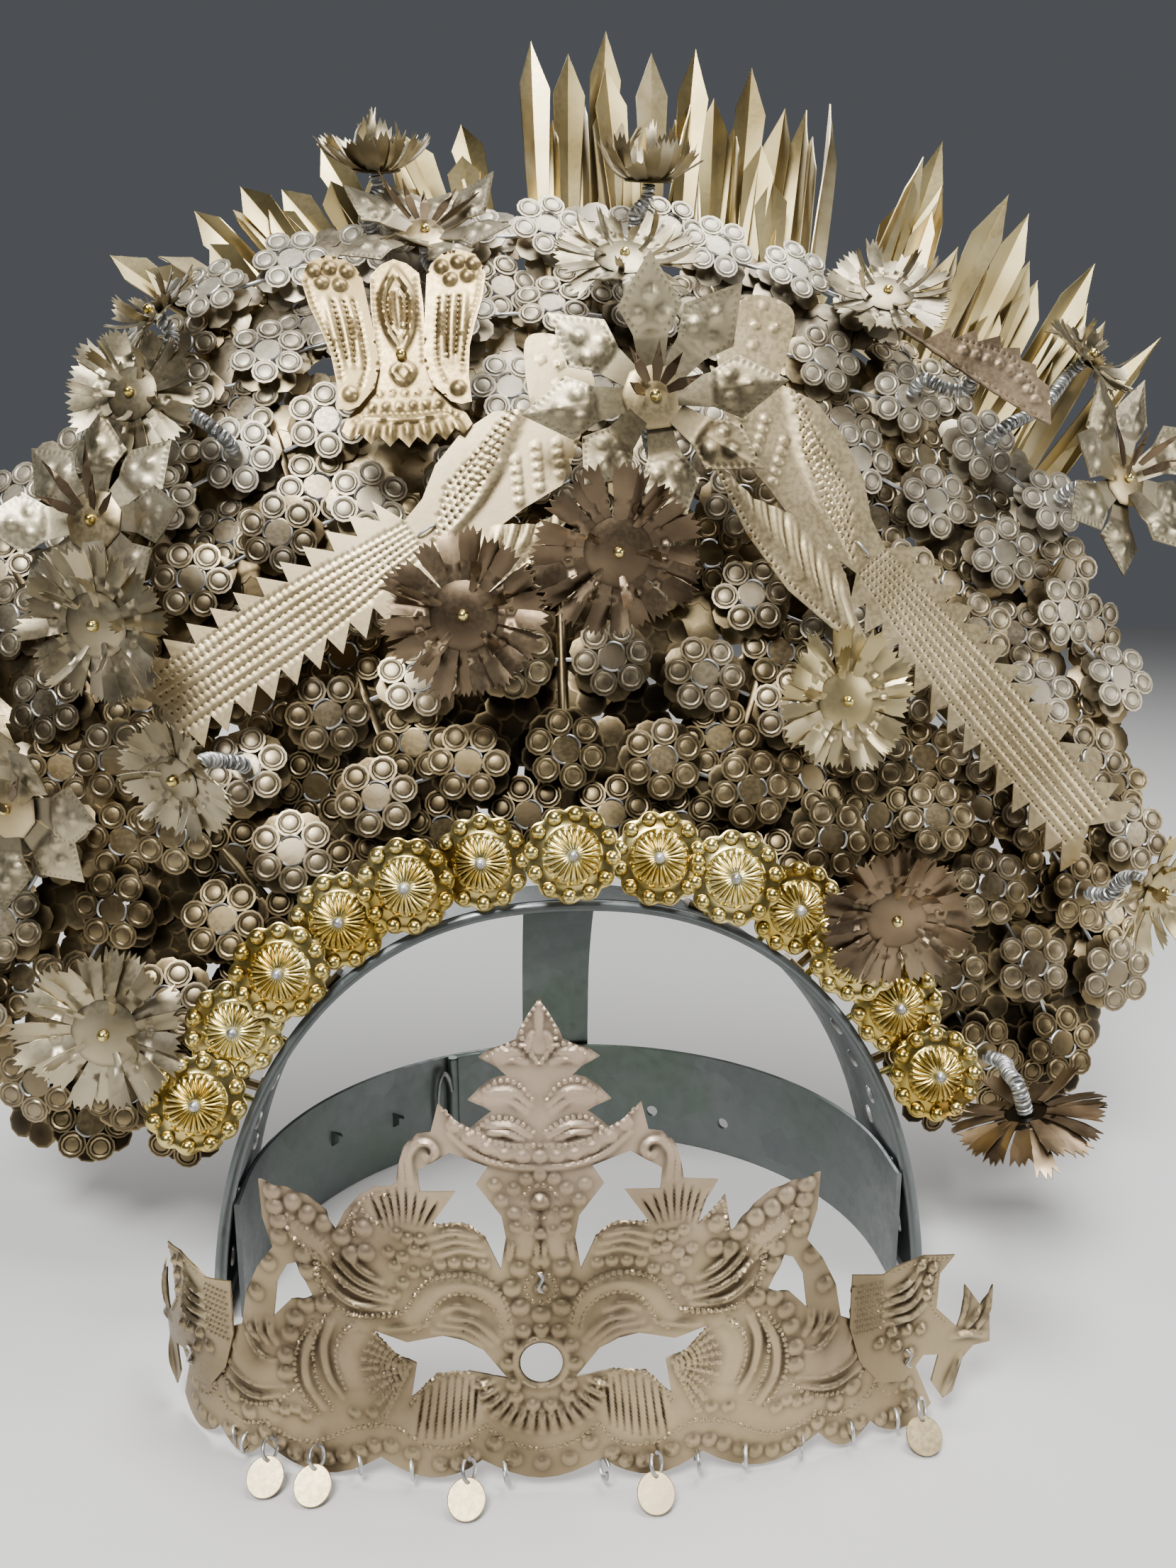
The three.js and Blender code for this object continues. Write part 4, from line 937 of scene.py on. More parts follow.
def rowSpots(row, phase=0.0):
    # evenly spaced places along the part of a row that lies inside the fan
    samples = []
    length = 0.0
    for k in range(721):
        turn = math.pi * k / 720
        x, z = rowPoint(row, turn)
        if math.hypot(x, z - fan["centreZ"]) > fan["radius"] or z < fan["lowest"]:
            continue
        if samples:
            length += math.hypot(x - samples[-1]["x"], z - samples[-1]["z"])
        samples.append({"turn": turn, "x": x, "z": z, "length": length})
    if not samples:
        return []
    count = int(length / rows["pitch"] + 0.5) + 1
    spots = []
    for k in range(count):
        want = length * (k + phase) / (count - 1)
        if want > length:
            continue
        near = min(samples, key=lambda one: abs(one["length"] - want))
        place, normal = fanSpot(near["x"], near["z"])
        spots.append({"row": row, "turn": near["turn"], "place": place, "normal": normal, "roll": math.radians(17 * k + 11 * row)})
    return spots


ribTurns = [math.pi * (facet + 0.5) / facets["steps"] for facet in facets["ribs"]]


def sectorOf(spot):
    return min(range(len(ribTurns)), key=lambda k: abs(ribTurns[k] - spot["turn"]))


def gapSpots(places, gap):
    # more places, each in the widest gap that is left on the fan
    step = 3.5
    across = np.arange(-fan["radius"], fan["radius"], step)
    upward = np.arange(fan["skirt"], fan["centreZ"] + fan["radius"], step)
    free = np.stack(np.meshgrid(across, upward), axis=-1).reshape(-1, 2)
    inFan = np.hypot(free[:, 0], free[:, 1] - fan["centreZ"]) < fan["radius"] + 1
    offArch = np.hypot(free[:, 0] / (arch["halfWidth"] + fan["clear"]), free[:, 1] / (arch["height"] + fan["clear"])) > 1
    free = free[inFan & offArch]
    room = np.min(np.linalg.norm(free[:, None] - np.array(places)[None], axis=2), axis=1)
    found = []
    while room.max() > gap:
        best = free[room.argmax()]
        found.append((float(best[0]), float(best[1])))
        room = np.minimum(room, np.linalg.norm(free - best, axis=1))
    return found


def fillSpot(x, z):
    place, normal = fanSpot(x, z)
    off = rows["start"] + rows["step"] * rows["count"] / 2
    turn = math.atan2(z / (arch["height"] + off), x / (arch["halfWidth"] + off))
    return {"turn": turn, "place": place, "normal": normal}


blossoms = [spot for row in range(rows["count"]) for spot in rowSpots(row)]
held = [(spot["place"].x, spot["place"].z) for spot in blossoms]
fillPlaces = gapSpots(held, fan["gap"])
deepPlaces = gapSpots(held + fillPlaces, fan["deepGap"])
fillers = [fillSpot(*place) for place in fillPlaces]
deepFlowers = [fillSpot(*place) for place in deepPlaces]
for spot in blossoms + fillers + deepFlowers:
    spot["sector"] = sectorOf(spot)
print("flower field:", len(blossoms), "blossoms,", len(fillers), "between them,", len(deepFlowers), "behind")

# blossom: a six-petalled flower of ringed petals over two layers of plain ones, tied with wire loops
blossom = {
    "petals": 6, "reach": 6.9, "tilt": 0.1, "depth": 8, "loopTurn": 0.55, "loopAt": 2.5, "loopLift": 0.3,
    # painted shade: the under layers carry a negative tone that darkens them
    "under": [
        {"reach": 6.8, "start": 0.52, "lift": -4.0, "tilt": 0.12, "tone": -0.34},
        {"reach": 8.0, "start": 0.0, "lift": -6.6, "tilt": 0.5, "tone": -0.4},
    ],
}
petalProfile = [
    (3.5, -0.2), (3.5, 0.14), (2.85, 0.16), (2.52, 0.48), (2.2, 0.44), (1.95, 0.24), (1.6, 0.34), (0, 0.4),
]
ringPetal = turnedForm("ring_petal", petalProfile, 12, "dustyBrass")
petalReach = np.hypot(*readPoints(ringPetal)[:, :2].T)
# painted shade: the groove inside the ring and the step at the flange are darkened, the raised ring kept light
reliefSteps = (0, 1.6, 1.95, 2.2, 2.52, 2.85, 3.3, 3.5)
paint(ringPetal, "relief", np.interp(petalReach, reliefSteps, (0.6, 0.58, 0.24, 0.7, 0.85, 0.25, 0.5, 0.8)))
plainPetal = turnedForm("plain_petal", [(4.1, -0.2), (4.1, 0.12), (3.2, 0.26), (0, 0.4)], 9, "dustyBrass")
# painted shade: the middle of each plain petal, under the petals above, is left darker than its rim
scaleReach = np.hypot(*readPoints(plainPetal)[:, :2].T)
paint(plainPetal, "relief", np.interp(scaleReach, (0, 3.2, 4.1), (0.4, 0.5, 0.9)))
buttonForm = turnedForm("button", [(3.7, -0.1), (3.8, 0.0), (3.6, 0.08), (3.3, 0.1), (0, 0.12)], 12, "dustyBrass")
paint(buttonForm, "relief", 0.52)
loopTurns = np.linspace(0.05, math.pi - 0.05, 9)
loopLine = [(2.2 * math.cos(a), 1.1 * math.sin(a), 0.35 * math.sin(a)) for a in loopTurns]
tieLoop = wireForm("tie_loop", [loopLine], 0.27, "drawnSteel", 0)


def petalRing(petal, reach, start, lift, tilt, tone=0.0):
    ring = []
    for k in range(blossom["petals"]):
        a = start + 2 * math.pi * k / blossom["petals"]
        lean = Matrix.Rotation(tilt, 4, Vector((-math.sin(a), math.cos(a), 0)))
        spot = Matrix.Translation((reach * math.cos(a), reach * math.sin(a), lift))
        ring.append(copyOf(petal, spot @ lean, tone))
    return ring


topForms = petalRing(ringPetal, blossom["reach"], 0, 0, blossom["tilt"])
topForms.append(copyOf(buttonForm, Matrix.Translation((0, 0, 0.1))))
for side in (0, math.pi):
    spin = Matrix.Rotation(side + blossom["loopTurn"], 4, "Z")
    topForms.append(copyOf(tieLoop, spin @ Matrix.Translation((0, blossom["loopAt"], blossom["loopLift"]))))
flowerTop = joinAs("flower_top", topForms)
lowForms = [petal for row in blossom["under"] for petal in petalRing(plainPetal, **row)]
blossomForm = joinAs("blossom", [copyOf(flowerTop, Matrix()), *lowForms])
# painted shade: the plain petals of fillers and deep flowers carry a negative tone that darkens them
fillerForm = joinAs("filler", [copyOf(flowerTop, Matrix()), *petalRing(plainPetal, 6.8, 0.5, -3.4, 0.2, -0.34)])
deepPetals = petalRing(plainPetal, 6.4, 0.3, 0, 0.2, -0.15)
deepForm = joinAs("deep_flower", [*deepPetals, copyOf(buttonForm, Matrix.Translation((0, 0, 0.5)), -0.15)])
discard(ringPetal, plainPetal, buttonForm, tieLoop, flowerTop)

wires = {"row": 0.55, "rib": 1.3, "stem": 0.5, "behind": 3.2, "ribBehind": 6.6, "sameTurn": 0.012}
padForm = turnedForm("pad", [(5.0, -0.8), (5.2, -0.5), (5.2, 0.5), (5.0, 0.8)], 4, "dustyBrass")
crest = {"plane": 29.5, "centre": 121, "radius": 159, "strip": 8, "thick": 1.8, "leaf": 0.8}
crestCombs = [
    {"name": "crest_right", "from": 28, "to": 58, "leaves": 10, "length": 70, "splay": 0.62},
    {"name": "crest_centre", "from": 60, "to": 92, "leaves": 11, "length": 65, "splay": 0.35},
    {"name": "crest_left", "from": 94, "to": 127, "leaves": 9, "length": 37, "splay": 1.7},
]
crestTurn = Matrix.Translation((0, crest["plane"], 0)) @ Matrix.Rotation(math.pi / 2 - math.atan(fan["lean"]), 4, "X")


def facetSpot(facet, off, back):
    # middle of one flat of the solid's band, with its outward direction
    corners = []
    for step in (facet, facet + 1):
        turn = math.pi * step / facets["steps"]
        corners.append(archCurve(turn) + archOut(turn) * arch["sheet"])
    edge = corners[1] - corners[0]
    out = Vector((edge.y, -edge.x)).normalized()
    flat = (corners[0] + corners[1]) / 2 + out * off
    return leaned(flat.x, flat.y, back), leaned(out.x, out.y, 0)


def dustAndShadeLevel(place):
    # a coat of dust on the upper and outer rows; low down beside the arch the blossoms are left dark as painted shade,
    # with little dust and a slightly negative tone
    off = math.hypot(place.x / arch["halfWidth"], place.z / arch["height"])
    return min(0.8, max(-0.06, 0.42 * (off - 1.42) + 0.0012 * (place.z - 66)))


fanFace = Vector((0, -1, fan["lean"])).normalized()


def jitter(normal, amount):
    nudge = Vector((dice.uniform(-1, 1), dice.uniform(-0.4, 0.4), dice.uniform(-1, 1)))
    return (Vector(normal) + nudge * amount).normalized()


for sector, ribTurn in enumerate(ribTurns):
    foot, out = facetSpot(facets["ribs"][sector], 0.3 + 0.8, facets["back"])
    backward = leaned(0, 0, 1)
    onBand = basis(backward.cross(out), backward, out, foot) @ Matrix.Rotation(math.pi / 4, 4, "Z")
    forms = [copyOf(padForm, onBand, 0.3)]
    ribLine = [foot, foot + out * 9]
    rowLines, stems = [], []
    for row in range(rows["count"]):
        mine = [spot for spot in blossoms if spot["sector"] == sector and spot["row"] == row]
        if not mine:
            continue
        place, normal = fanSpot(*rowPoint(row, ribTurn))
        crossing = place - normal * wires["ribBehind"]
        line = [(spot["turn"], spot["place"] - spot["normal"] * wires["behind"]) for spot in mine]
        met = [spot for spot in mine if abs(spot["turn"] - ribTurn) < wires["sameTurn"]]
        if met:
            crossing = met[0]["place"] - met[0]["normal"] * wires["ribBehind"]
        else:
            line.append((ribTurn, crossing))
        ribLine.append(crossing)
        line.sort(key=lambda one: one[0])
        if len(line) > 1:
            rowLines.append(smoothLine([point for _, point in line], 6 * len(line)))
        for spot in mine:
            normal = jitter(spot["normal"].lerp(fanFace, 0.45), 0.17)
            tone = dustAndShadeLevel(spot["place"]) + dice.uniform(-0.16, 0.16)
            forms.append(copyOf(blossomForm, facing(spot["place"], normal, spot["roll"]), tone))
            stems.append([spot["place"] - spot["normal"] * 0.5, spot["place"] - spot["normal"] * blossom["depth"]])
    hidden = [(spot, fillerForm, 3.5, 6.5) for spot in fillers] + [(spot, deepForm, 7.0, 10.0) for spot in deepFlowers]
    for spot, form, shallow, deep in hidden:
        if spot["sector"] != sector:
            continue
        sunk = spot["place"] - spot["normal"] * dice.uniform(shallow, deep)
        # painted shade: the hidden flowers get a lower tone than the blossoms in front of them
        tone = dustAndShadeLevel(spot["place"]) + dice.uniform(-0.4, -0.1)
        normal = jitter(spot["normal"].lerp(fanFace, 0.45), 0.22)
        forms.append(copyOf(form, facing(sunk, normal, dice.uniform(0, 6)), tone))
        nearest = min(blossoms, key=lambda one: (one["place"] - spot["place"]).length)
        stems.append([sunk - spot["normal"] * 0.5, sunk - spot["normal"] * 3, nearest["place"] - nearest["normal"] * 5])
    last = crestTurn.inverted() @ ribLine[-1]
    lean = math.atan2(last.y - crest["centre"], last.x)
    if any(math.radians(comb["from"]) < lean < math.radians(comb["to"]) for comb in crestCombs):
        reach = crest["radius"]
        end = crestTurn @ Vector((reach * math.cos(lean), crest["centre"] + reach * math.sin(lean), 1.1))
        onCrest = crestTurn.to_3x3().to_4x4() @ Matrix.Rotation(math.pi / 4, 4, "Z")
        forms.append(copyOf(padForm, Matrix.Translation(end) @ onCrest, 0.3))
        ribLine.append(end)
    forms.append(wireForm("rib", [smoothLine(ribLine, 6 * len(ribLine))], wires["rib"], "dustyBrass"))
    forms.append(wireForm("row_wires", rowLines, wires["row"], "drawnSteel"))
    forms.append(wireForm("flower_stems", stems, wires["stem"], "drawnSteel", 0))
    piece = joinAs("spray_%d_flowers" % (sector + 1), forms)
    setDown(piece, "dusty", "spray_%d" % (sector + 1))
discard(blossomForm, fillerForm, deepForm, padForm)
print("flower sprays are wired")


# crest: blades folded along their midline on curved strips with studs
leafForm = {"foot": 2.7, "shoulder": 4.7, "shoulderAt": 0.75, "length": 50, "fold": 0.5}


def leafOutline():
    # a narrow blade that widens a little to its shoulders and ends in a long point
    right = [
        (leafForm["foot"], 0), (0.5 * (leafForm["foot"] + leafForm["shoulder"]), 0.4 * leafForm["length"]),
        (leafForm["shoulder"], leafForm["shoulderAt"] * leafForm["length"]), (0, leafForm["length"]),
    ]
    return np.array(right + [(-half, up) for half, up in right[-2::-1]])


def foldLeaf(u, v, h):
    return np.column_stack([u, v, h + leafForm["fold"] * np.abs(u)])


def bentLeaf(bow, twist, stretch):
    def reshape(points):
        share = points[:, 1] / leafForm["length"]
        a = twist * (0.35 + 0.65 * share)
        x = points[:, 0] * np.cos(a) - points[:, 2] * np.sin(a)
        z = points[:, 0] * np.sin(a) + points[:, 2] * np.cos(a)
        return np.column_stack([x + 1.2 * bow * share ** 2, points[:, 1] * stretch, z + 3.0 * bow * share ** 2])
    return reshape


crestLeaf = embossedSheet(
    "crest_leaf", leafOutline(), "crestBrass", spacing=2.4, thick=0.35, warp=foldLeaf,
    crease=[(0, 0.5), (0, leafForm["length"] - 1)],
)
studForm = turnedForm("stud", [(1.7, 0.0), (1.45, 0.6), (0.8, 1.05), (0, 1.2)], 10, "crestBrass")
studs = {"pitch": 4.4, "small": 0.4, "off": 2.7}
for comb in crestCombs:
    first, last = math.radians(comb["from"]), math.radians(comb["to"])
    inner, outer = crest["radius"] - crest["strip"] / 2, crest["radius"] + crest["strip"] / 2
    strip = []
    for turn in np.linspace(first, last, 25):
        c, s = math.cos(turn), math.sin(turn)
        corners = ((outer, 0), (outer, -crest["thick"]), (inner, -crest["thick"]), (inner, 0))
        strip.append([(r * c, crest["centre"] + r * s, z) for r, z in corners])
    forms = [loftForm("crest_strip", strip, "crestBrass")]
    for k, turn in enumerate(np.arange(first + 0.01, last, studs["pitch"] / crest["radius"] / 2)):
        # large studs along the middle, small ones by both edges between them
        for off, size in (((0, 1),) if k % 2 == 0 else ((-studs["off"], studs["small"]), (studs["off"], studs["small"]))):
            r = crest["radius"] + off
            spot = Matrix.Translation((r * math.cos(turn), crest["centre"] + r * math.sin(turn), -0.1))
            forms.append(copyOf(studForm, spot @ Matrix.Scale(size, 4), 0.4))
    for k in range(2 * comb["leaves"] - 1):
        # the leaves of the solid, and a second set between them set a little lower
        between = k % 2 == 1
        spot = k / 2
        turn = first + (last - first) * (spot + 0.5) / comb["leaves"]
        lean = (turn - math.pi / 2) * comb["splay"] + math.radians(4 if int(spot) % 3 == 1 else -2)
        length = comb["length"] * (0.9 + 0.1 * math.sin(2.4 * spot + 1))
        if between:
            length *= dice.uniform(0.6, 0.86)
        depth = -0.5 if int(spot) % 2 else 0.1 - crest["thick"]
        r = crest["radius"]
        place = Vector((r * math.cos(turn), crest["centre"] + r * math.sin(turn) - 1, depth))
        twist = dice.uniform(-0.35, 0.35)
        if dice.random() < 0.35:
            twist = dice.choice((-1, 1)) * dice.uniform(0.7, 1.25)  # some are turned nearly edge-on
        bend = bentLeaf(dice.uniform(-1.0, 1.0), twist, length / leafForm["length"])
        turned = Matrix.Translation(place) @ Matrix.Rotation(lean + dice.uniform(-0.09, 0.09), 4, "Z")
        forms.append(copyOf(crestLeaf, turned, dice.choice((-0.14, -0.06, 0.0, 0.2, 0.5)), bend))
    piece = joinAs(comb["name"] + "_leaves", forms)
    piece.data.transform(crestTurn)
    setDown(piece, "dusty", comb["name"])
discard(crestLeaf, studForm)
print("crest combs are filled")


# springs: coiled wire from a blossom's middle to the back of a head
spring = {"coil": 1.6, "wire": 0.38, "pitch": 0.9, "perTurn": 9, "rise": 7, "foot": 1.5}
taken = []


def coilForm(line):
    line = evenLine(smoothLine(line, 60), 0.4)
    along = np.gradient(line, axis=0)
    along /= np.linalg.norm(along, axis=1)[:, None]
    side = np.cross(along[0], (0.3, 0.5, 0.8))
    sides = []
    for direction in along:
        side = side - direction * side.dot(direction)
        side = side / np.linalg.norm(side)
        sides.append(side)
    sides = np.array(sides)
    ups = np.cross(along, sides)
    length = lineLength(line)
    count = int(length / spring["pitch"] * spring["perTurn"])
    places = np.linspace(0, len(line) - 1, count)
    turn = np.arange(count) * 2 * math.pi / spring["perTurn"]

    def sample(rows):
        return np.stack([np.interp(places, np.arange(len(rows)), rows[:, axis]) for axis in range(3)], axis=1)

    ring = sample(sides) * np.cos(turn)[:, None] + sample(ups) * np.sin(turn)[:, None]
    return wireForm("coil", [sample(line) + spring["coil"] * ring], spring["wire"], "drawnSteel", 0)


def springTo(place, normal):
    # rises from the nearest blossom that carries no spring yet
    behind = place - normal * 8
    free = [spot for spot in blossoms if id(spot) not in taken]
    near = min(free, key=lambda spot: (spot["place"] - behind).length)
    taken.append(id(near))
    foot = near["place"] + near["normal"] * spring["foot"]
    gap = (foot - place).length
    rise = min(spring["rise"], gap * 0.3)
    kink = Vector((dice.uniform(-1, 1), dice.uniform(-1, 1), dice.uniform(-1, 1))) * min(2.5, gap * 0.08)
    middle = (foot + near["normal"] * rise + place - normal * rise) / 2 + kink
    line = [foot, foot + near["normal"] * rise, middle, place - normal * rise, place - normal * 0.3]
    return coilForm([tuple(point) for point in line])


# fringed flowers: a ring of toothed strips creased along their midline, a few of them bent up, on springs
quiverRows = [
    {"place": (11, 19, 180), "normal": (0, -1, -0.1), "radius": 20, "look": "darkBronze"},
    {"place": (-24, 18, 166), "normal": (-0.15, -1, 0.05), "radius": 20, "look": "darkBronze"},
    {"place": (66, 21, 145), "normal": (0.15, -1, 0.1), "radius": 18, "look": "crestBrass"},
    {"place": (74, 1, 97), "normal": (-0.1, -1, -0.1), "radius": 18, "look": "darkBronze"},
    {"place": (106, -5, 50), "normal": (0.3, -0.1, -0.95), "radius": 19, "look": "darkBronze"},
    {"place": (-106, 5, 74), "normal": (-0.1, -1, 0.05), "radius": 20, "look": "paleBrass"},
    {"place": (-106, 23, 164), "normal": (-0.3, -1, -0.1), "radius": 19, "look": "paleBrass"},
    {"place": (-101, 72, 238), "normal": (-0.6, -0.4, 0.6), "radius": 16, "look": "paleBrass"},
    {"place": (-46, 92, 278), "normal": (0, -0.35, 0.9), "radius": 17, "look": "paleBrass"},
    {"place": (27, 92, 277), "normal": (0, -0.3, 0.95), "radius": 17, "look": "paleBrass"},
    {"place": (92, 84, 248), "normal": (0, -0.7, 0.7), "radius": 19, "look": "paleBrass"},
    {"place": (153, 88, 233), "normal": (0.5, -0.5, 0.6), "radius": 15, "look": "paleBrass"},
    {"place": (-88, 12, 131), "normal": (-0.5, -0.8, -0.3), "radius": 15, "look": "paleBrass"},
    {"place": (147, 18, 97), "normal": (0.5, -0.8, -0.2), "radius": 17, "look": "crestBrass"},
    {"place": (18, 70, 253), "normal": (0, -0.6, 0.7), "radius": 20, "look": "paleBrass"},
    {"place": (-103, 55, 217), "normal": (-0.3, -0.9, 0.25), "radius": 17, "look": "paleBrass"},
]
fringe = {
    "strips": 20, "bentUp": 5, "narrow": 0.6, "length": 20, "thick": 0.3, "cup": 0.5, "cupFrom": 0.7, "bronze": 4,
    "shade": 0.22,
}
stripHalf = [(5.5, 1.0), (13, 1.9), (19.6, 2.5), (18, 1.4), (20, 0.6), (18.6, 0)]
stripOutline = np.array([(along, -half) for along, half in stripHalf] + stripHalf[-2::-1])


def creaseStrip(u, v, h):
    return np.column_stack([u, v, h - 0.14 * np.abs(v)])


stripForms, bossForms = {}, {}
bossProfile = [(7.6, -0.4), (7.9, 0.0), (6.4, 0.5), (3.4, 0.95), (0, 1.1)]
for look in sorted({row["look"] for row in quiverRows}):
    stripForms[look] = embossedSheet(
        "fringe_strip", stripOutline, look, spacing=1.9, thick=fringe["thick"], warp=creaseStrip,
        crease=[(6, 0), (18, 0)],
    )
    bossForms[look] = turnedForm("boss", bossProfile, 20, look)


def bentStrip(pitch, curl, twist, stretch, widen=1.0):
    def reshape(points):
        along = points[:, 0]
        share = along / fringe["length"]
        a = twist * share
        y = widen * points[:, 1] * np.cos(a) - points[:, 2] * np.sin(a)
        z = widen * points[:, 1] * np.sin(a) + points[:, 2] * np.cos(a)
        rise = pitch * share + curl * share ** 2
        return np.column_stack([along * stretch * np.cos(rise), y, z + along * stretch * np.sin(rise)])
    return reshape


for number, row in enumerate(quiverRows):
    place, normal = Vector(row["place"]), Vector(row["normal"]).normalized()
    head = facing(place, normal, math.radians(13 * number))
    cup = fringe["cup"] if row["normal"][2] > fringe["cupFrom"] else 0.0  # those on top open like cups
    tone = 0.3 + dice.uniform(-0.15, 0.15)
    grow = row["radius"] / fringe["length"]
    strip = stripForms[row["look"]]
    lift = Matrix.Translation((0, 0, 0.6)) @ Matrix.Scale(grow, 4)
    forms = [copyOf(bossForms[row["look"]], head @ lift, tone - 0.15)]
    for k in range(fringe["strips"] + fringe["bentUp"]):
        flatLying = k < fringe["strips"]
        count, start = (fringe["strips"], k) if flatLying else (fringe["bentUp"], k - fringe["strips"])
        turn = 2 * math.pi * (start + dice.uniform(-0.25, 0.25)) / count
        up = (head.to_3x3() @ Vector((math.cos(turn), math.sin(turn), 0))).z
        if flatLying:
            pitch, twist = dice.uniform(-0.1, 0.16), dice.uniform(-0.5, 0.5)
            stretch, widen = dice.uniform(0.9, 1.04), dice.uniform(1.0, 1.2)
        else:
            pitch, twist = dice.uniform(0.35, 0.8), dice.uniform(-0.9, 0.9)
            stretch, widen = dice.uniform(0.7, 0.95), fringe["narrow"]
        bend = bentStrip(pitch + cup, dice.uniform(-0.15, 0.25), twist, grow * stretch, widen)
        spot = head @ Matrix.Translation((0, 0, 0.25 * (k % 3))) @ Matrix.Rotation(turn, 4, "Z")
        # painted shade: the upper strips are darker than those that hang below
        forms.append(copyOf(strip, spot, tone - fringe["shade"] * up + dice.uniform(-0.18, 0.18), bend))
    forms.append(copyOf(beadForm, head @ Matrix.Translation((0, 0, 1.1)), 0.8))
    forms.append(springTo(place, normal))
    piece = joinAs("fringed_flower_%02d" % (number + 1), forms)
    setDown(piece, "bronze" if number < fringe["bronze"] else "dusty", "quiver_flower_%02d" % (number + 1))
discard(*stripForms.values(), *bossForms.values())
print("fringed flowers quiver on their springs")


# star flowers: creased kite-shaped petals with punched bumps round a tuft of thin strips
starRows = [
    {"place": (20.5, 31, 215), "normal": (0.05, -1, 0.1), "radius": 31, "tone": -0.16},
    {"place": (-33, 82, 260.2), "normal": (0, -0.6, 0.75), "radius": 24, "tone": 0.5},
    {"place": (-112, 47, 187), "normal": (-0.3, -0.9, 0.2), "radius": 27, "tone": 0.4},
    {"place": (152, 61, 198), "normal": (0.4, -0.85, 0.3), "radius": 28, "tone": 0.3},
    {"place": (-133, 33, 120), "normal": (-0.3, -0.9, 0), "radius": 25, "tone": 0.2},
]
star = {"petals": 8, "length": 29, "fold": 0.16, "crease": 12.5, "thick": 0.35, "tuft": 5}
starHalf = [(4, 2.4), (12.5, 3.9), (18.5, 7.2), (29, 0)]
starOutline = np.array([(along, -half) for along, half in starHalf] + starHalf[-2::-1])
starDomes = [(16.4, -2.8, 1.9, 0.65), (16.4, 2.8, 1.9, 0.65), (20.6, 0, 1.9, 0.65)]
for side in (1, -1):
    starDomes += dotLine([(13.4, side * 3.2), (18.5, side * 5.7), (26.4, side * 0.8)], 1.5, 0.5, -0.16)


def foldStar(u, v, h):
    # a flat neck, then a blade creased along its middle
    blade = np.clip((u - star["crease"]) / 1.5, 0, 1)
    return np.column_stack([u, v, h + blade * (0.5 + star["fold"] * (4 - np.abs(v)))])


starPetal = embossedSheet(
    "star_petal", starOutline, "paleBrass", spacing=0.95, domes=starDomes, thick=star["thick"], warp=foldStar,
    crease=[(5, 0), (28.4, 0)],
)
centreForm = turnedForm("star_centre", [(7.6, -0.2), (7.8, 0.1), (6.8, 0.6), (2.6, 0.9), (0, 1.0)], 9, "tailBrass")
tuftHalf = [(5.0, 0.8), (10, 1.3), (18, 0)]
tuftOutline = np.array([(along, -half) for along, half in tuftHalf] + tuftHalf[-2::-1])
tuftStrip = embossedSheet("tuft_strip", tuftOutline, "darkBronze", spacing=2.0, thick=0.3)


def bentStar(pitch, curl, stretch, widen):
    def reshape(points):
        along = points[:, 0]
        rise = pitch + curl * along / star["length"]
        x = along * stretch * np.cos(rise) - points[:, 2] * np.sin(rise)
        z = along * stretch * np.sin(rise) + points[:, 2] * np.cos(rise)
        return np.column_stack([x, points[:, 1] * widen, z])
    return reshape


for number, row in enumerate(starRows):
    place, normal = Vector(row["place"]), Vector(row["normal"]).normalized()
    head = facing(place, normal, math.radians(20 * number + 8))
    grow = row["radius"] / star["length"]
    forms = []
    for k in range(star["petals"]):
        turn = 2 * math.pi * (k + dice.uniform(-0.08, 0.08)) / star["petals"]
        bend = bentStar(dice.uniform(-0.1, 0.26), dice.uniform(-0.2, 0.3), grow, dice.uniform(0.92, 1.05))
        spot = head @ Matrix.Translation((0, 0, 0.35 * (k % 2))) @ Matrix.Rotation(turn, 4, "Z")
        forms.append(copyOf(starPetal, spot, row["tone"] + dice.uniform(-0.2, 0.25), bend))
    for k in range(star["tuft"]):
        # thin dark strips stand up round the upper half of the middle
        upward = math.atan2(*(head.to_3x3().inverted() @ Vector((0, 0, 1))).yx)
        turn = upward + math.radians(38) * (k - (star["tuft"] - 1) / 2 + dice.uniform(-0.3, 0.3))
        bend = bentStar(dice.uniform(0.35, 0.9), dice.uniform(-0.2, 0.5), dice.uniform(0.7, 1.05), 1.0)
        spot = head @ Matrix.Translation((0, 0, 1.0)) @ Matrix.Rotation(turn, 4, "Z")
        forms.append(copyOf(tuftStrip, spot, dice.uniform(-0.25, 0.2), bend))
    forms.append(copyOf(centreForm, head @ Matrix.Translation((0, 0, 0.6)), 0.1))
    forms.append(copyOf(beadForm, head @ Matrix.Translation((0, 0, 1.2)), 0.8))
    forms.append(springTo(place, normal))
    piece = joinAs("pointed_flower_%d" % (number + 1), forms)
    setDown(piece, "dusty", "star_flower_%d" % (number + 1))
discard(starPetal, tuftStrip, centreForm)
print("star flowers are open")


# winged bird: two drooping wings over a body with a scalloped fan tail
wingedBird = {"place": (-38.5, 52, 229), "normal": (0, -0.95, 0.3), "roll": math.radians(4), "thick": 0.4, "wingLift": 0.6}
birdPlace, birdNormal = Vector(wingedBird["place"]), Vector(wingedBird["normal"]).normalized()
birdHead = facing(birdPlace, birdNormal, wingedBird["roll"])
bodyHalf = [
    (0, 21.4), (3, 20.2), (5.9, 17.5), (6.3, 9.6), (6, 1.8), (6.1, -6), (7.2, -10), (10.4, -14), (14.5, -18.6),
    (15.6, -21), (13.4, -23.5), (11.2, -22), (8.9, -24.8), (6.7, -22.8), (4.5, -25.6), (2.2, -23.4), (0, -26),
]
bodyOutline = np.array(bodyHalf + [(-u, v) for u, v in bodyHalf[-2:0:-1]])
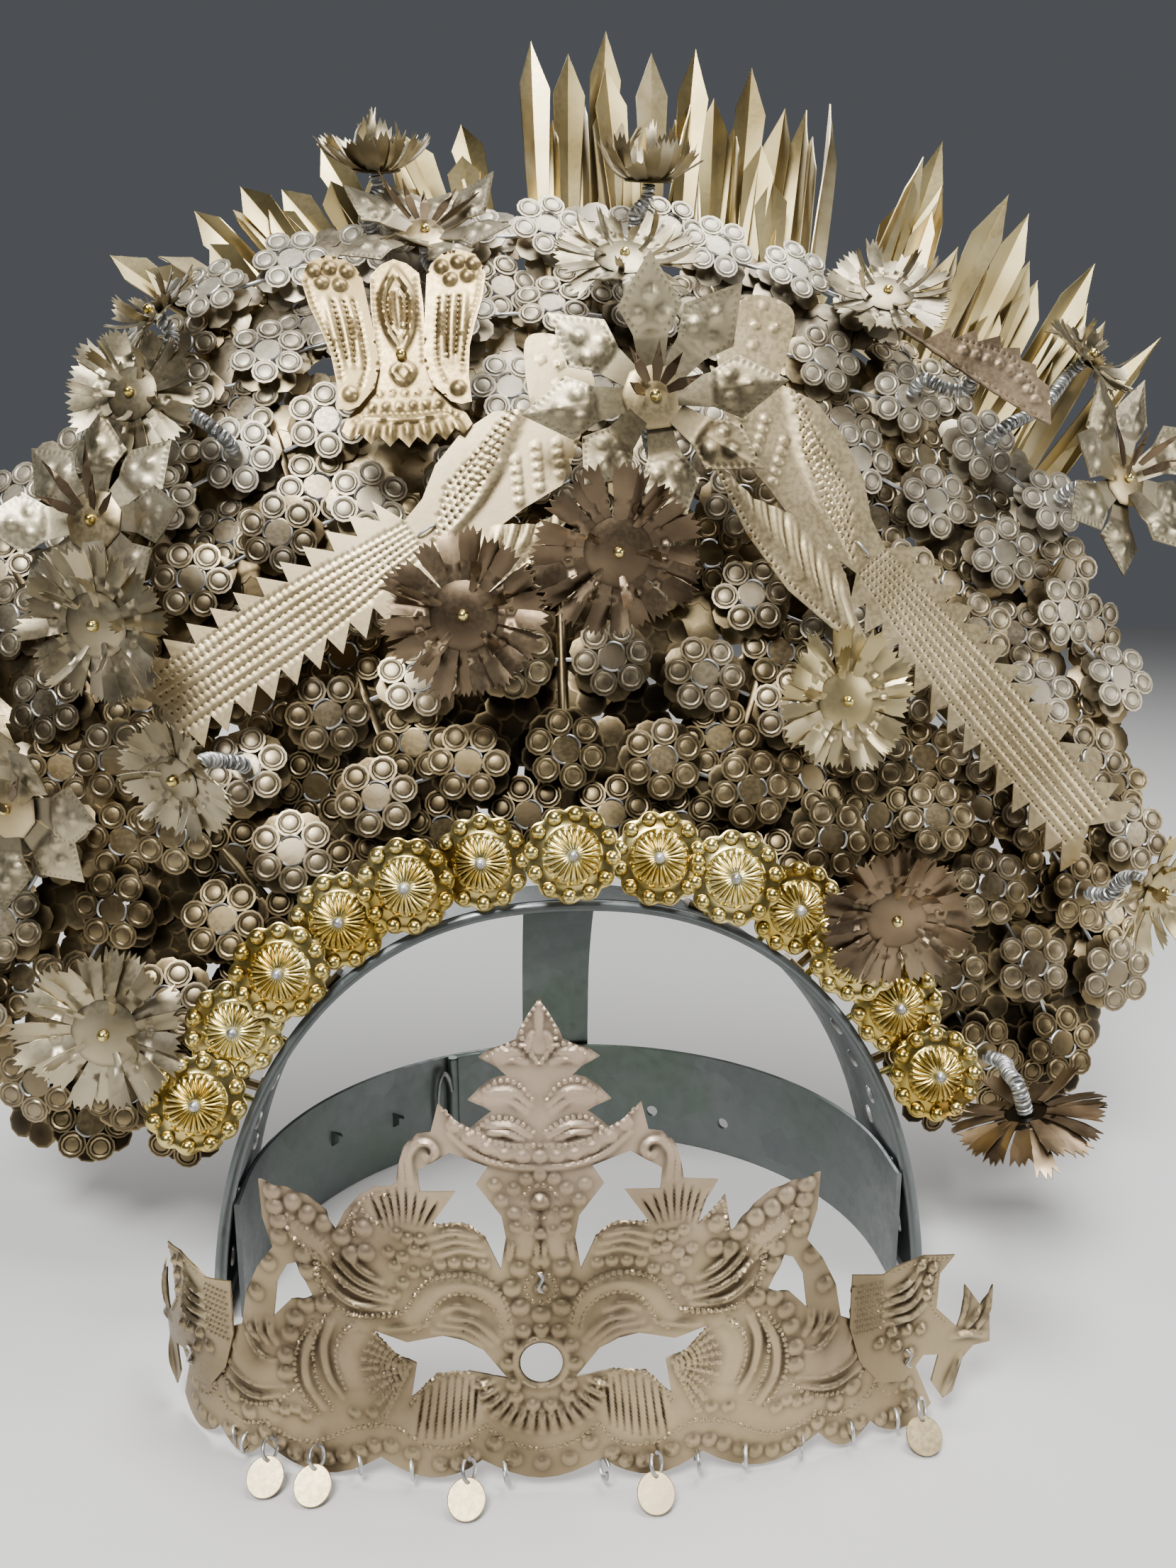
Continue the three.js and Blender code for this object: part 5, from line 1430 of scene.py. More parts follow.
bodyDomes = [(u, -15.5, 1.1, 0.6) for u in (-8, -4.8, -1.6, 1.6, 4.8, 8)]
bodyDomes += [(u, -12.4, 0.9, 0.5) for u in (-6, -3, 0, 3, 6)]
bodyRidges = [
    ridgeLine([(-10.5, -18.2), (0, -19.2), (10.5, -18.2)], 0.6, 0.6),
    ridgeLine([(0, -4.5), (2.4, -7), (0, -10), (-2.4, -7), (0, -4.5)], 0.6, 0.7),
]
for side in (1, -1):
    bodyDomes += dotLine([(side * 5.2, 16), (side * 5.4, 6), (side * 5.2, -5)], 1.5, 0.55, -0.35)
    bodyDomes += dotLine([(side * 12.6, -19), (side * 8, -17.2), (0, -17.6)], 1.5, 0.55, -0.35)
    bodyRidges.append(ridgeLine([(0, 19), (side * 3.2, 12), (side * 2.8, 4), (0, -2.5)], 0.7, 1.0))
    bodyRidges.append(ridgeLine([(0, 15), (side * 1.4, 11), (side * 1.2, 5), (0, 1)], 0.5, 0.7))
bodyRidges += [ridgeLine([(1.15 * u, -19.6), (1.35 * u, -24)], 0.9, 0.7) for u in (-9.6, -6.4, -3.2, 0, 3.2, 6.4, 9.6)]
wingEdge = np.array([
    (7.8, 16), (9, 18.5), (12, 21), (16, 21.8), (20, 20), (22.2, 15.5), (20.8, 9), (18.5, 3), (16.6, -3), (15.8, -10),
    (16, -16.6), (13.5, -17), (11, -16), (7, -11.5), (5.4, -6), (6, 2), (7, 9.6),
])
wingDomes = [(u, v, 1.7, 0.9) for u, v in ((11.5, 17.6), (15.6, 18.4), (13.4, 14.2), (17.6, 14.8), (19.2, 17.6))]
wingDomes.append((13, -13, 1.9, 0.9))
wingDots = [
    [(20.8, 15), (19.6, 9.5), (17.3, 3), (15.4, -3), (14.5, -9)],
    [(10.2, 10), (9, 2), (8.4, -5), (10, -11)], [(12.6, 10), (11.6, 3), (11.2, -5)], [(15.2, 10), (14.2, 4), (13, -4)],
]
for line in wingDots:
    wingDomes += dotLine(line, 1.4, 0.55, -0.35)
wingRidges = [ridgeLine([(11.4 + k, 10.5), (10.3 + k, 3), (9.8 + 0.8 * k, -6)], 0.7, 0.6) for k in (0, 2.5, 5.2)]
forms = [embossedSheet(
    "bird_body", bodyOutline, "rosyBrass", spacing=0.7, domes=bodyDomes, ridges=bodyRidges, thick=wingedBird["thick"],
)]
for side in (1, -1):
    mirror = np.array((side, 1))
    domes = [(side * u, v, r, h) for u, v, r, h in wingDomes]
    ridges = [{**ridge, "line": ridge["line"] * mirror} for ridge in wingRidges]
    wing = embossedSheet(
        "bird_wing", wingEdge * mirror, "rosyBrass", spacing=0.7, domes=domes, ridges=ridges, thick=wingedBird["thick"],
    )
    wing.data.transform(Matrix.Translation((0, 0, wingedBird["wingLift"])) @ Matrix.Rotation(-side * 0.1, 4, "Y"))
    forms.append(wing)
forms.append(copyOf(beadForm, Matrix.Translation((0, -3.2, 0.3))))
for form in forms:
    paint(form, "tone", 0.55)
    form.data.transform(birdHead)
forms.append(springTo(birdPlace, birdNormal))
setDown(joinAs("winged_bird_sheet", forms), "dusty", "winged_bird")

# long-tailed birds: a saw-toothed tail with rows of dimples, a tied neck and a feathered body
tail = {
    "teeth": 14, "pitch": 6.6, "step": 1, "halfWidth": 13.4, "tooth": 5.4, "end": 0.63, "thick": 0.45, "notch": 5,
    "tie": 0.67, "tilt": 0.25, "dimpleLines": (-7.2, -4.8, -2.4, 0, 2.4, 4.8, 7.2), "ridgeLines": (-6, -3.6, -1.2, 1.2, 3.6, 6),
}
tailedBirds = [
    {"name": "tailed_bird_left", "tail": (-100, 33, 141), "head": (0, 46, 206), "lobe": -1},
    {"name": "tailed_bird_right", "tail": (137, 29, 107), "head": (45, 51, 216), "lobe": 1},
]
# outlines beyond the tail: (share of the length, half width), with a pointed lobe on the second side
broadSide = [(0.645, 5), (0.7, 7), (0.76, 12), (0.84, 15), (0.92, 15), (0.985, 10.5)]
headEdge = [(0.985, 10.5), (1.02, 19), (1.055, 25), (1.09, 24.5), (1.13, 19), (1.13, 9), (1.1, 4)]
lobeSide = [(0.645, 5), (0.7, 7), (0.78, 9), (0.86, 8.5), (0.95, 9), (1, 5)]
lobeEdge = [
    (0.53, 14.5), (0.6, 19), (0.7, 21.5), (0.82, 20.5), (0.97, 15), (0.86, 13.5), (0.79, 8), (0.7, 5.5),
    (0.64, 8.5), (0.6, 12),
]
for bird in tailedBirds:
    start = Vector(bird["tail"])
    axis = Vector(bird["head"]) - start
    length = axis.length
    axis.normalize()
    side = Vector((0, -1, tail["tilt"])).cross(axis).normalized()
    face = axis.cross(side)
    sign = bird["lobe"]
    teeth = []
    for k in range(tail["teeth"]):
        teeth.append((k * tail["pitch"], tail["halfWidth"] - tail["tooth"]))
        teeth.append((k * tail["pitch"] + tail["step"], tail["halfWidth"]))
    teeth = [(u, v) for u, v in teeth if u < tail["end"] * length]
    roundHead = smoothLine(headEdge, 4 * len(headEdge))[1:]
    upper = [(u, -sign * v) for u, v in teeth]
    upper += [(share * length, -sign * half) for share, half in [*broadSide, *roundHead]]
    lower = [(u, sign * v) for u, v in teeth] + [(share * length, sign * half) for share, half in lobeSide]
    outline = np.array([(tail["notch"], 0)] + upper + lower[::-1])
    domes, ridges = [], []
    for off in tail["dimpleLines"]:
        row = [(6, off), (0.35 * length, off), (0.64 * length, 0.6 * off)]
        domes += dotLine(row, 1.7, 0.62, -0.36)
    for off in tail["ridgeLines"]:
        ridges.append(ridgeLine([(4, off), (0.35 * length, off), (0.63 * length, 0.6 * off)], 0.8, 0.2))
    for k in range(5):
        # dotted feathers sweep from the neck to the broad side
        reach = [(0.67 + 0.02 * k, 3 - 2.2 * k), (0.77 + 0.025 * k, -2.4 * k), (0.87 + 0.026 * k, -5 - 2.2 * k)]
        feather = [(share * length, sign * off) for share, off in reach]
        domes += dotLine(feather, 1.9, 0.7, -0.45)
        ridges.append(ridgeLine([(u + 1.6, v + sign * 1.0) for u, v in feather], 1.0, 0.8))
    for k in range(14):
        domes.append((length * (0.86 + 0.01 * k), sign * (6.5 - 2.2 * (k % 5)), 1.2, 0.6))
    for share, off in ((1.06, 12), (1.085, 15.5), (1.06, 19), (1.1, 20.5)):
        domes.append((length * share, -sign * off, 1.1, 0.6))
    body = embossedSheet(
        bird["name"], outline, "tailBrass", spacing=0.85, domes=domes, ridges=ridges, thick=tail["thick"],
    )
    lobeOutline = np.array([(share * length, sign * off) for share, off in lobeEdge])
    edgeLine = [(0.56, 15.5), (0.62, 18), (0.72, 20), (0.82, 19), (0.93, 15.6)]
    lobeDomes = dotLine([(share * length, sign * off) for share, off in edgeLine], 1.8, 0.7, -0.4)
    lobeRidges = []
    for k in range(8):
        # scalloped plumes along the lobe
        share = 0.57 + 0.045 * k
        plume = [(share, 16.4), (share + 0.035, 14.4), (share + 0.07, 12.2 - 0.3 * k), (share + 0.09, 10 - 0.2 * k)]
        lobeRidges.append(ridgeLine([(at * length, sign * off) for at, off in plume], 1.0, 0.8))
    lobe = embossedSheet(
        bird["name"], lobeOutline, "tailBrass", spacing=0.85, domes=lobeDomes, ridges=lobeRidges, thick=tail["thick"],
    )
    lobe.data.transform(Matrix.Translation((0, 0, 0.6)))
    for form in (body, lobe):
        form.data.transform(basis(axis, side, face, start))
        paint(form, "tone", 0.4)
    tie = start + axis * length * tail["tie"]
    knotTurns = np.linspace(0, 2 * math.pi, 15)[:-1]
    knotRing = [tie + face * (0.6 + 1.2 * math.sin(a)) + axis * (2.4 * math.cos(a)) for a in knotTurns]
    knot = wireForm("neck_tie", [[tuple(point) for point in knotRing]], 0.35, "drawnSteel", 1, True)
    piece = joinAs(bird["name"] + "_sheet", [body, lobe, knot, springTo(tie, face)])
    setDown(piece, "dusty", bird["name"])

# folded leaf with serrated edges, its upper end smooth
foldedLeaf = {
    "place": (111, 66, 225), "normal": (0.2, -0.75, 0.6), "length": 48, "half": 13, "teeth": 7, "tooth": 2.6,
    "first": 0.08, "point": 0.04, "span": 0.76, "from": 0.22, "swell": 0.7,
    "fold": math.radians(30), "roll": math.radians(48),
}
right = [(0, -foldedLeaf["length"] / 2)]
for k in range(foldedLeaf["teeth"]):
    share = k / (foldedLeaf["teeth"] - 1)
    half = foldedLeaf["half"] * math.sin(math.pi * (foldedLeaf["from"] + foldedLeaf["swell"] * share))
    up = foldedLeaf["length"] * (foldedLeaf["first"] + foldedLeaf["span"] * share - 0.5)
    right.append((half - foldedLeaf["tooth"], up))
    right.append((half, up + foldedLeaf["length"] * foldedLeaf["point"]))
right.append((0, foldedLeaf["length"] / 2))
outline = np.array(right + [(-u, v) for u, v in right[-2:0:-1]])
domes = [(0, v, 0.6, -0.35) for v in np.arange(-21, 8, 1.8)]
for sign in (1, -1):
    domes += dotLine([(sign * 3.4, -17), (sign * 6.4, -6), (sign * 4, 6)], 3.4, 1.3, 0.8)
    domes += dotLine([(sign * 6, -15), (sign * 9.4, -5), (sign * 6.4, 8)], 1.7, 0.55, -0.3)


def foldSheet(u, v, h):
    return np.column_stack([u * math.cos(foldedLeaf["fold"]), v, h + np.abs(u) * math.sin(foldedLeaf["fold"])])


leafPlace, leafNormal = Vector(foldedLeaf["place"]), Vector(foldedLeaf["normal"]).normalized()
form = embossedSheet("folded_leaf_sheet", outline, "darkBronze", spacing=1.0, domes=domes, warp=foldSheet, thick=0.4)
# painted shade: the dark end of the leaf is a negative tone standing in for shade, the other end carries dust
paint(form, "tone", np.clip(0.5 - 0.04 * readPoints(form)[:, 1], -0.2, 0.9))  # dusty below, dark above
form.data.transform(facing(leafPlace, leafNormal, foldedLeaf["roll"]))
setDown(joinAs("folded_leaf_sheet", [form, springTo(leafPlace, leafNormal)]), "bronze", "folded_leaf")
discard(beadForm)
print("birds and folded leaf are cut")


# brow plate: one beaten sheet, nearly the same on both sides of the middle
brow = {
    "x": -11.2, "y": -54, "z": 2.6, "lean": math.radians(3.6), "yaw": math.radians(-3.6), "radius": 220, "bendFrom": 51,
    "leftEnd": 45, "rightEnd": 200, "sheet": 0.45, "base": 0.45, "spacing": 0.46, "rosyFrom": 44, "rosyOver": 30,
    "dotPitch": 1.2, "dot": 0.58, "dotDeep": 0.5, "bump": 1.2, "bumpRise": 0.62,
    "flute": 0.8, "softFlute": 0.5,
}
browOutline = {
    "finialTip": [(0, 98), (2, 95), (3.7, 92), (4.4, 90)],
    "upperLeaf": [(9.3, 88.2), (11.3, 86.6), (8, 84.8), (6.1, 83)],
    "lowerLeaf": [(8.6, 82.5), (11.3, 80.6), (13.5, 78.2), (10.6, 77), (9, 76)],
    "horn": [(13, 72.8), (15.5, 74.2), (19.2, 77.2), (20.6, 71.6)],
    "scroll": [(23.3, 71.2), (25.7, 69), (27, 64.5), (27.5, 61.4)],
    "crest": [(34.3, 60.6), (32.2, 57), (30.4, 51.8)],
    "spike": [(35.8, 57.4), (37, 50)],
    "wing": [(41.6, 54.7), (45.3, 57.3), (49.7, 58.6), (55.5, 59.7), (55, 52), (53, 46)],
    "strut": [(56.6, 41.4), (59.6, 35.4), (61, 28)],
    "end": [(70, 24), (78, 16), (84, 3)],
}
# a rounded leaf stands in place of the crest and the spike on the left half
browLeft = {"crest": [(28.5, 60.4), (31.8, 60.2), (35, 58.2), (38, 54.6)], "spike": [(39.8, 51)]}
leftLeafDots = [(-28.6, 58.4), (-31.8, 58.6), (-34.4, 57), (-36.8, 53.8), (-38.2, 50.6)]
browScallops = [
    {"from": 84, "to": 68.7, "edge": 2.6, "drop": 3.2},
    {"from": 68.7, "to": 56.7, "edge": 3.2, "drop": 3.9},
    {"from": 56.7, "to": 32, "edge": 3.4, "drop": 4.6},
    {"from": 32, "to": 11.8, "edge": 3.6, "drop": 3.8},
    {"from": 11.8, "to": -11.8, "edge": 4.1, "drop": 3.9},
]
browHoles = {
    "besideVase": [
        (17.1, 67.7), (9.8, 65), (12.1, 61.4), (7.4, 55.1), (6.6, 50.8), (7.7, 44.2), (10.6, 50.7), (14, 53.5),
        (20.7, 53.3), (16.1, 59.9), (23, 59.6), (23.3, 63.9),
    ],
    "eye": [
        (6.5, 21.5), (11.3, 27.6), (14.8, 29.4), (19, 30.3), (26.1, 28.5), (32.5, 30.5), (29, 26.4), (24.3, 24.1),
        (25.5, 17), (20.5, 22.2), (14.1, 23.1),
    ],
    "side": [(48.2, 43.4), (50.1, 42.7), (52.4, 38.7), (53.4, 31.4), (49.5, 35.4), (44.9, 36.7)],
}
browCentreHole = {"up": 24.9, "radius": 4.1, "sides": 40}


def browTable(side):
    # plan of the plate's bend, walked out from the middle
    step = 0.25
    rowsOut = [(0.0, 0.0, 0.0, 0.0)]
    x = back = turn = 0.0
    for k in range(430):
        u = k * step
        x += step * math.cos(turn)
        back += step * math.sin(turn)
        turn += step / (brow["radius"] if u < brow["bendFrom"] else brow[side])
        rowsOut.append((u + step, x, back, turn))
    return np.array(rowsOut)


browBends = {1: browTable("rightEnd"), -1: browTable("leftEnd")}


def browPath(u, off):
    u = np.asarray(u, dtype=float)
    off = np.broadcast_to(np.asarray(off, dtype=float), u.shape)
    x, back = np.zeros_like(u), np.zeros_like(u)
    for side, table in browBends.items():
        mine = u >= 0 if side > 0 else u < 0
        across = np.abs(u[mine])
        turn = np.interp(across, table[:, 0], table[:, 3])
        x[mine] = side * (np.interp(across, table[:, 0], table[:, 1]) - off[mine] * np.sin(turn))
        back[mine] = np.interp(across, table[:, 0], table[:, 2]) + off[mine] * np.cos(turn)
    return x, back


browStand = Matrix.Translation((brow["x"], brow["y"], brow["z"])) @ Matrix.Rotation(brow["yaw"], 4, "Z")
browTilt = browStand @ Matrix.Rotation(-brow["lean"], 4, "X")


def browWarp(base):
    def warp(u, v, h):
        x, back = browPath(u, base - h)
        return np.column_stack([x, back, v])
    return warp


def bothSides(points):
    return [points, [(-u, v) for u, v in points]]


# punched dot rows, bumps, flutes and feathers: right half, (across, up) in millimetres
browDots = {
    "topLeaf": [(0.4, 97), (2.0, 94.4), (3.2, 91.6), (2.6, 88.6), (0.6, 86)],
    "upperLeaf": [(0.3, 85.4), (1.6, 87.7), (4.3, 89.2), (6.8, 88.6), (10, 86.7)],
    "lowerLeaf": [(1.3, 78.3), (3.2, 80.7), (5.7, 82), (8.6, 81.5), (12.2, 78.6)],
    "baseLeaf": [(1.2, 71.9), (3.4, 73.6), (6, 74.7), (9.2, 74.5), (11.6, 72.6)],
    "bowlRim": [(0, 69.4), (3.6, 69.3), (8, 70), (12, 71.8), (15.3, 73.6), (18.2, 76.2)],
    "browOuter": [(5.8, 32.7), (6.5, 36.8), (8.1, 39.9), (10.6, 42.1), (14.1, 43.2), (17.5, 43.1), (21, 41.9), (23.9, 39.3),
                  (25.6, 36.2), (28.2, 34.1), (32.5, 33.3), (38, 33.6)],
    "browInner": [(7.4, 31.5), (8.1, 34.8), (9.9, 37.2), (12.7, 38.9), (16.2, 39.2), (19, 37.9), (21.1, 35.3), (22.2, 32.8), (24.7, 30.8)],
    "neckTop": [(10.4, 50.2), (12.6, 52.6), (15.8, 53.4), (20.3, 52.8)],
    "spike": [(31.4, 52.8), (33.4, 54.2), (35.3, 56.2), (35.9, 53.4), (36.2, 50.3)],
    "wingLoop": [(39.6, 44.6), (41.7, 48.1), (45.4, 50.8), (49.8, 53.4), (50, 51.5), (48.1, 48.7), (44.9, 46.5)],
    "wingUnder": [(28.2, 34.4), (35.4, 33.5), (41.2, 35.5), (44, 40.9), (44, 46.1)],
    "wingDrop": [(38.2, 39.5), (40.8, 42.8), (43.1, 43.8), (43.6, 41.5), (41.5, 38.1)],
    "panelFirst": [(36.9, 31.6), (39.8, 28.3), (40.4, 23), (38.7, 17.9)],
    "panelSecond": [(42.7, 32.5), (45.2, 26.2), (44.6, 18.7), (41.7, 13)],
    "panelThird": [(45, 31.4), (48.4, 25.7), (49.2, 19.6), (47.3, 14.5), (44.6, 11.6)],
    "shellOuter": [(49.1, 16.6), (53.8, 12.8), (60.2, 11.3), (65.1, 13), (67.4, 17.9), (67.6, 23.2)],
    "endBand": [(69.2, 21.9), (70.2, 14.2), (67.9, 9.3), (61.9, 6.6), (55.8, 8.1)],
    "lotusTop": [(10.9, 19.5), (13.4, 22.2), (17.6, 22.6), (21.2, 21), (24, 17.9), (25.6, 15.3)],
    "lowMiddle": [(0, 6.3), (2.2, 6.6), (5.1, 7.4), (8.6, 9.4), (10.8, 11.5)],
    "lowSide": [(11.6, 11.1), (14.2, 7.9), (18.4, 6.5), (22.7, 6.7), (25.6, 8.4), (29.1, 10.2), (32.8, 10.3), (37.9, 9), (42.4, 6.6),
                (47, 5.1), (51.6, 5.8), (55.5, 7.4)],
}
browFlutes = {
    "topLeaf": [[(0, 96), (0, 92), (0, 87.6)], [(0.6, 92), (1.8, 90), (1.6, 88)]],
    "upperLeaf": [[(3.1, 87.2), (6.4, 88), (9.4, 86.7)], [(2.5, 85.8), (5.2, 86.4), (7.4, 85.7)]],
    "lowerLeaf": [[(2, 77.4), (5.1, 80), (8.5, 79.9), (11.2, 78.3)], [(2.6, 76.2), (5.8, 78.3), (9.2, 78.2)]],
    "baseLeaf": [[(1.9, 71.2), (5.8, 73.3), (9.9, 73)], [(3.3, 70.6), (6.4, 71.8), (10.3, 71.8)]],
    "stem": [[(23.3, 70), (25, 66.7), (24.8, 61.7)], [(25, 69.4), (26.2, 65.9), (26.2, 61.9)]],
    "feather": [[(8.5, 29.5), (12.7, 33.5), (17.6, 34)], [(9.9, 28.7), (14.1, 32), (19.4, 32.5)], [(11.5, 28.4), (15.5, 30.8), (20.8, 31)],
                [(22.5, 32.5), (26.8, 31.6), (31.1, 31)], [(12.4, 35.4), (16, 36.6), (18.8, 35.4)]],
    "neck": [[(11, 47.4), (15.4, 48.3), (20.3, 46.6)], [(11.6, 49.1), (16.1, 50.1), (21, 48.5)], [(12.4, 50.8), (16.8, 51.7), (21.3, 50.2)]],
    "wing": [[(41.1, 44.3), (44.7, 48.4), (49.1, 51.7)], [(42.7, 44.3), (46.2, 47.5), (49.5, 49.5)]],
    "arc": [[(30.3, 38.7), (35.3, 40.6), (38.9, 43.8), (40.4, 46.3)], [(29, 37), (35.3, 38.4), (40.4, 42.2), (42.8, 45.5)],
            [(29.6, 35.5), (36.8, 35.9), (42.3, 39.9)], [(31, 41), (34.5, 42.9), (37.4, 45.6)]],
    "panel": [[(35.1, 31.5), (37.5, 30.1), (39, 27.2)], [(35.4, 29.4), (37.8, 27.6), (38.9, 24.7)], [(35.5, 27.1), (37.7, 25.2), (38.9, 22.3)],
              [(35.8, 24.8), (37.7, 22.9), (38.6, 20.1)], [(35.8, 22.4), (37.5, 20.4), (37.9, 17.7)]],
    "long": [[(41.3, 31.6), (43, 26.4), (42.3, 20.5), (39.6, 15.7)], [(44, 30.8), (46.8, 24.5), (46.8, 18.4), (43.7, 12.8)]],
    "shell": [[(52, 22), (56.7, 22.8), (59.8, 26.1)], [(52.4, 19.4), (57.6, 19.3), (62.4, 21.8), (64.1, 25.4)],
              [(51.8, 16.7), (58.5, 15.9), (64.1, 18.4), (66.3, 23.4)], [(53, 14.4), (59.3, 13.3), (65.3, 15.6)]],
    "leaf": [[(53, 25.7), (54.2, 27.9), (54.3, 30.5)], [(55.1, 25.4), (56.6, 27.8), (57, 29.8)], [(57.1, 25.9), (58.8, 27.5), (59.7, 28.9)]],
    "edgeBowl": [[(0, 64.9), (6, 65.4), (12, 67.4), (17, 71.6)]],
}
browBumps = {
    "ball": {"radius": 1.15, "height": 0.95, "spots": [
        (10.9, 45.3), (13.6, 45.6), (16.6, 45.5), (19.3, 45.2), (22, 47.5), (24.2, 47.9), (26.6, 46.3), (29.3, 47.1), (23.1, 50.1),
        (25.5, 50.1), (27.6, 51), (21.7, 43.5), (24.5, 43.2), (26.7, 40.9), (28.4, 38.4), (28.1, 44.4)]},
    "large": {"radius": 1.75, "height": 1.25, "spots": [
        (36.8, 46.2), (33.9, 46.6), (42, 52.2), (45.3, 53.8), (48.3, 55.9), (52.6, 57.6), (52.1, 54.6), (51.4, 51.6), (51.4, 48.6), (38.6, 49.6),
        (46.4, 45.1), (46, 41.9), (42.7, 35.1), (46.2, 34.8), (48.8, 31.6), (49.9, 28), (50.9, 23.4), (51, 19.6), (69, 22.1), (68.4, 17.4),
        (64.3, 11.9), (60.3, 9.1), (34.2, 51.6), (57.2, 35.8), (54.2, 42.6)]},
    "vase": {"radius": 1.2, "height": 0.9, "spots": [
        (2.6, 62.6), (0, 63.4), (5, 60.6), (5, 55.8), (2.4, 52.4), (0, 51.6), (4.6, 53), (8.6, 61.4), (7.4, 58.2)]},
    "bowl": {"radius": 1.35, "height": 0.95, "spots": [(0, 67.1), (3.2, 67.1), (6.6, 67.6), (10, 68.9), (13.3, 70.8), (16.2, 73.2)]},
    "middle": {"radius": 1.4, "height": 1.1, "spots": [(0, 31.8), (3.4, 31.4), (5.8, 28.4), (6.5, 24.4), (5.4, 20.2)]},
    "shell": {"radius": 1.3, "height": 1.1, "spots": [(1.7, 15.9), (5, 17.6)]},
    "flower": {"radius": 1.7, "height": 1.2, "spots": [(0, 46), (4, 44.4), (5.6, 40.4), (4, 36.4), (0, 34.8)]},
    "low": {"radius": 1.45, "height": 1.1, "spots": [
        (0, 3.4), (5.4, 4.3), (9.4, 7.6), (13.8, 5), (16.5, 3.2), (20, 2.9), (25.6, 4.8), (29.9, 6.2), (33.3, 5.9), (36.3, 4.5), (39.8, 3),
        (43, 2), (46.6, 1.5), (50.1, 2.2), (53.4, 3.9), (56.5, 5.6), (59.7, 3.6), (63.2, 2.2), (66.2, 3.4), (71.3, 2.9), (74.8, 3.2), (77.8, 4.6),
        (77.4, 9)]},
    "side": {"radius": 1.2, "height": 0.85, "spots": [(47.3, 10.7), (49.5, 11.9), (51.8, 11.2), (54.1, 11.6), (33.6, 12.9), (37.1, 12.6)]},
}
browFans = [
    # flutes spread between two lines: from, to, how many, beaded or plain
    {"from": [(26, 23.6), (26.4, 23), (26.6, 21.6)], "to": [(32.5, 30), (35, 22.5), (31, 12.6)], "count": 9, "beads": True},
    {"from": [(22.4, 52.8), (26.4, 53.4), (30.3, 52.2)], "to": [(19.6, 57.6), (26.6, 60.2), (32.4, 58)], "count": 8, "grooves": True},
    {"from": [(12.6, 20.6), (17.4, 21.6), (23, 18.2)], "to": [(13.4, 11.4), (18.6, 8.6), (24.6, 8.6)], "count": 8, "grooves": True},
    {"from": [(0.7, 50.2), (3, 50.2), (5.4, 50.4)], "to": [(0.7, 46.8), (3.2, 46.8), (6, 46.6)], "count": 4},
]
browPanels = [
    # broad swells under the small ornament
    {"line": [(6.6, 32), (7.3, 35.8), (9, 38.5), (11.6, 40.5), (15.1, 41.2), (18.2, 40.5), (21, 38.6), (25, 33.5)],
     "width": 1.9, "height": 0.9},
    {"line": [(42, 46), (45, 49), (49, 52)], "width": 2.6, "height": 0.9},
    {"line": [(36, 31), (38, 25), (36.5, 17)], "width": 2.4, "height": 0.8},
    {"line": [(52, 21), (58, 19), (64, 23)], "width": 3.4, "height": 1.0},
    {"line": [(0, 92), (0, 87)], "width": 1.8, "height": 0.8},
    {"line": [(4, 87.5), (9, 87)], "width": 1.5, "height": 0.7},
    {"line": [(4, 79), (11, 79)], "width": 1.8, "height": 0.8},
    {"line": [(0, 67.5), (8, 68.5), (16, 73)], "width": 2.0, "height": 0.8},
    {"line": [(2.5, 57), (3, 46)], "width": 2.2, "height": 0.8},
    {"line": [(14, 20), (19, 16), (24, 12)], "width": 3.2, "height": 0.9},
]
browShell = {"flutes": 15, "from": 10.4, "to": 14.6}
browRings = [
    # rings of dots round a dome: place, dome, dot ring
    {"up": 58, "across": 0, "dome": 1.9, "ring": 3.2, "dots": 14},
    {"up": 40.2, "across": 0, "dome": 1.3, "ring": 3.0, "dots": 12},
    {"up": 12, "across": 74, "dome": 1.4, "ring": 4.0, "dots": 14},
]


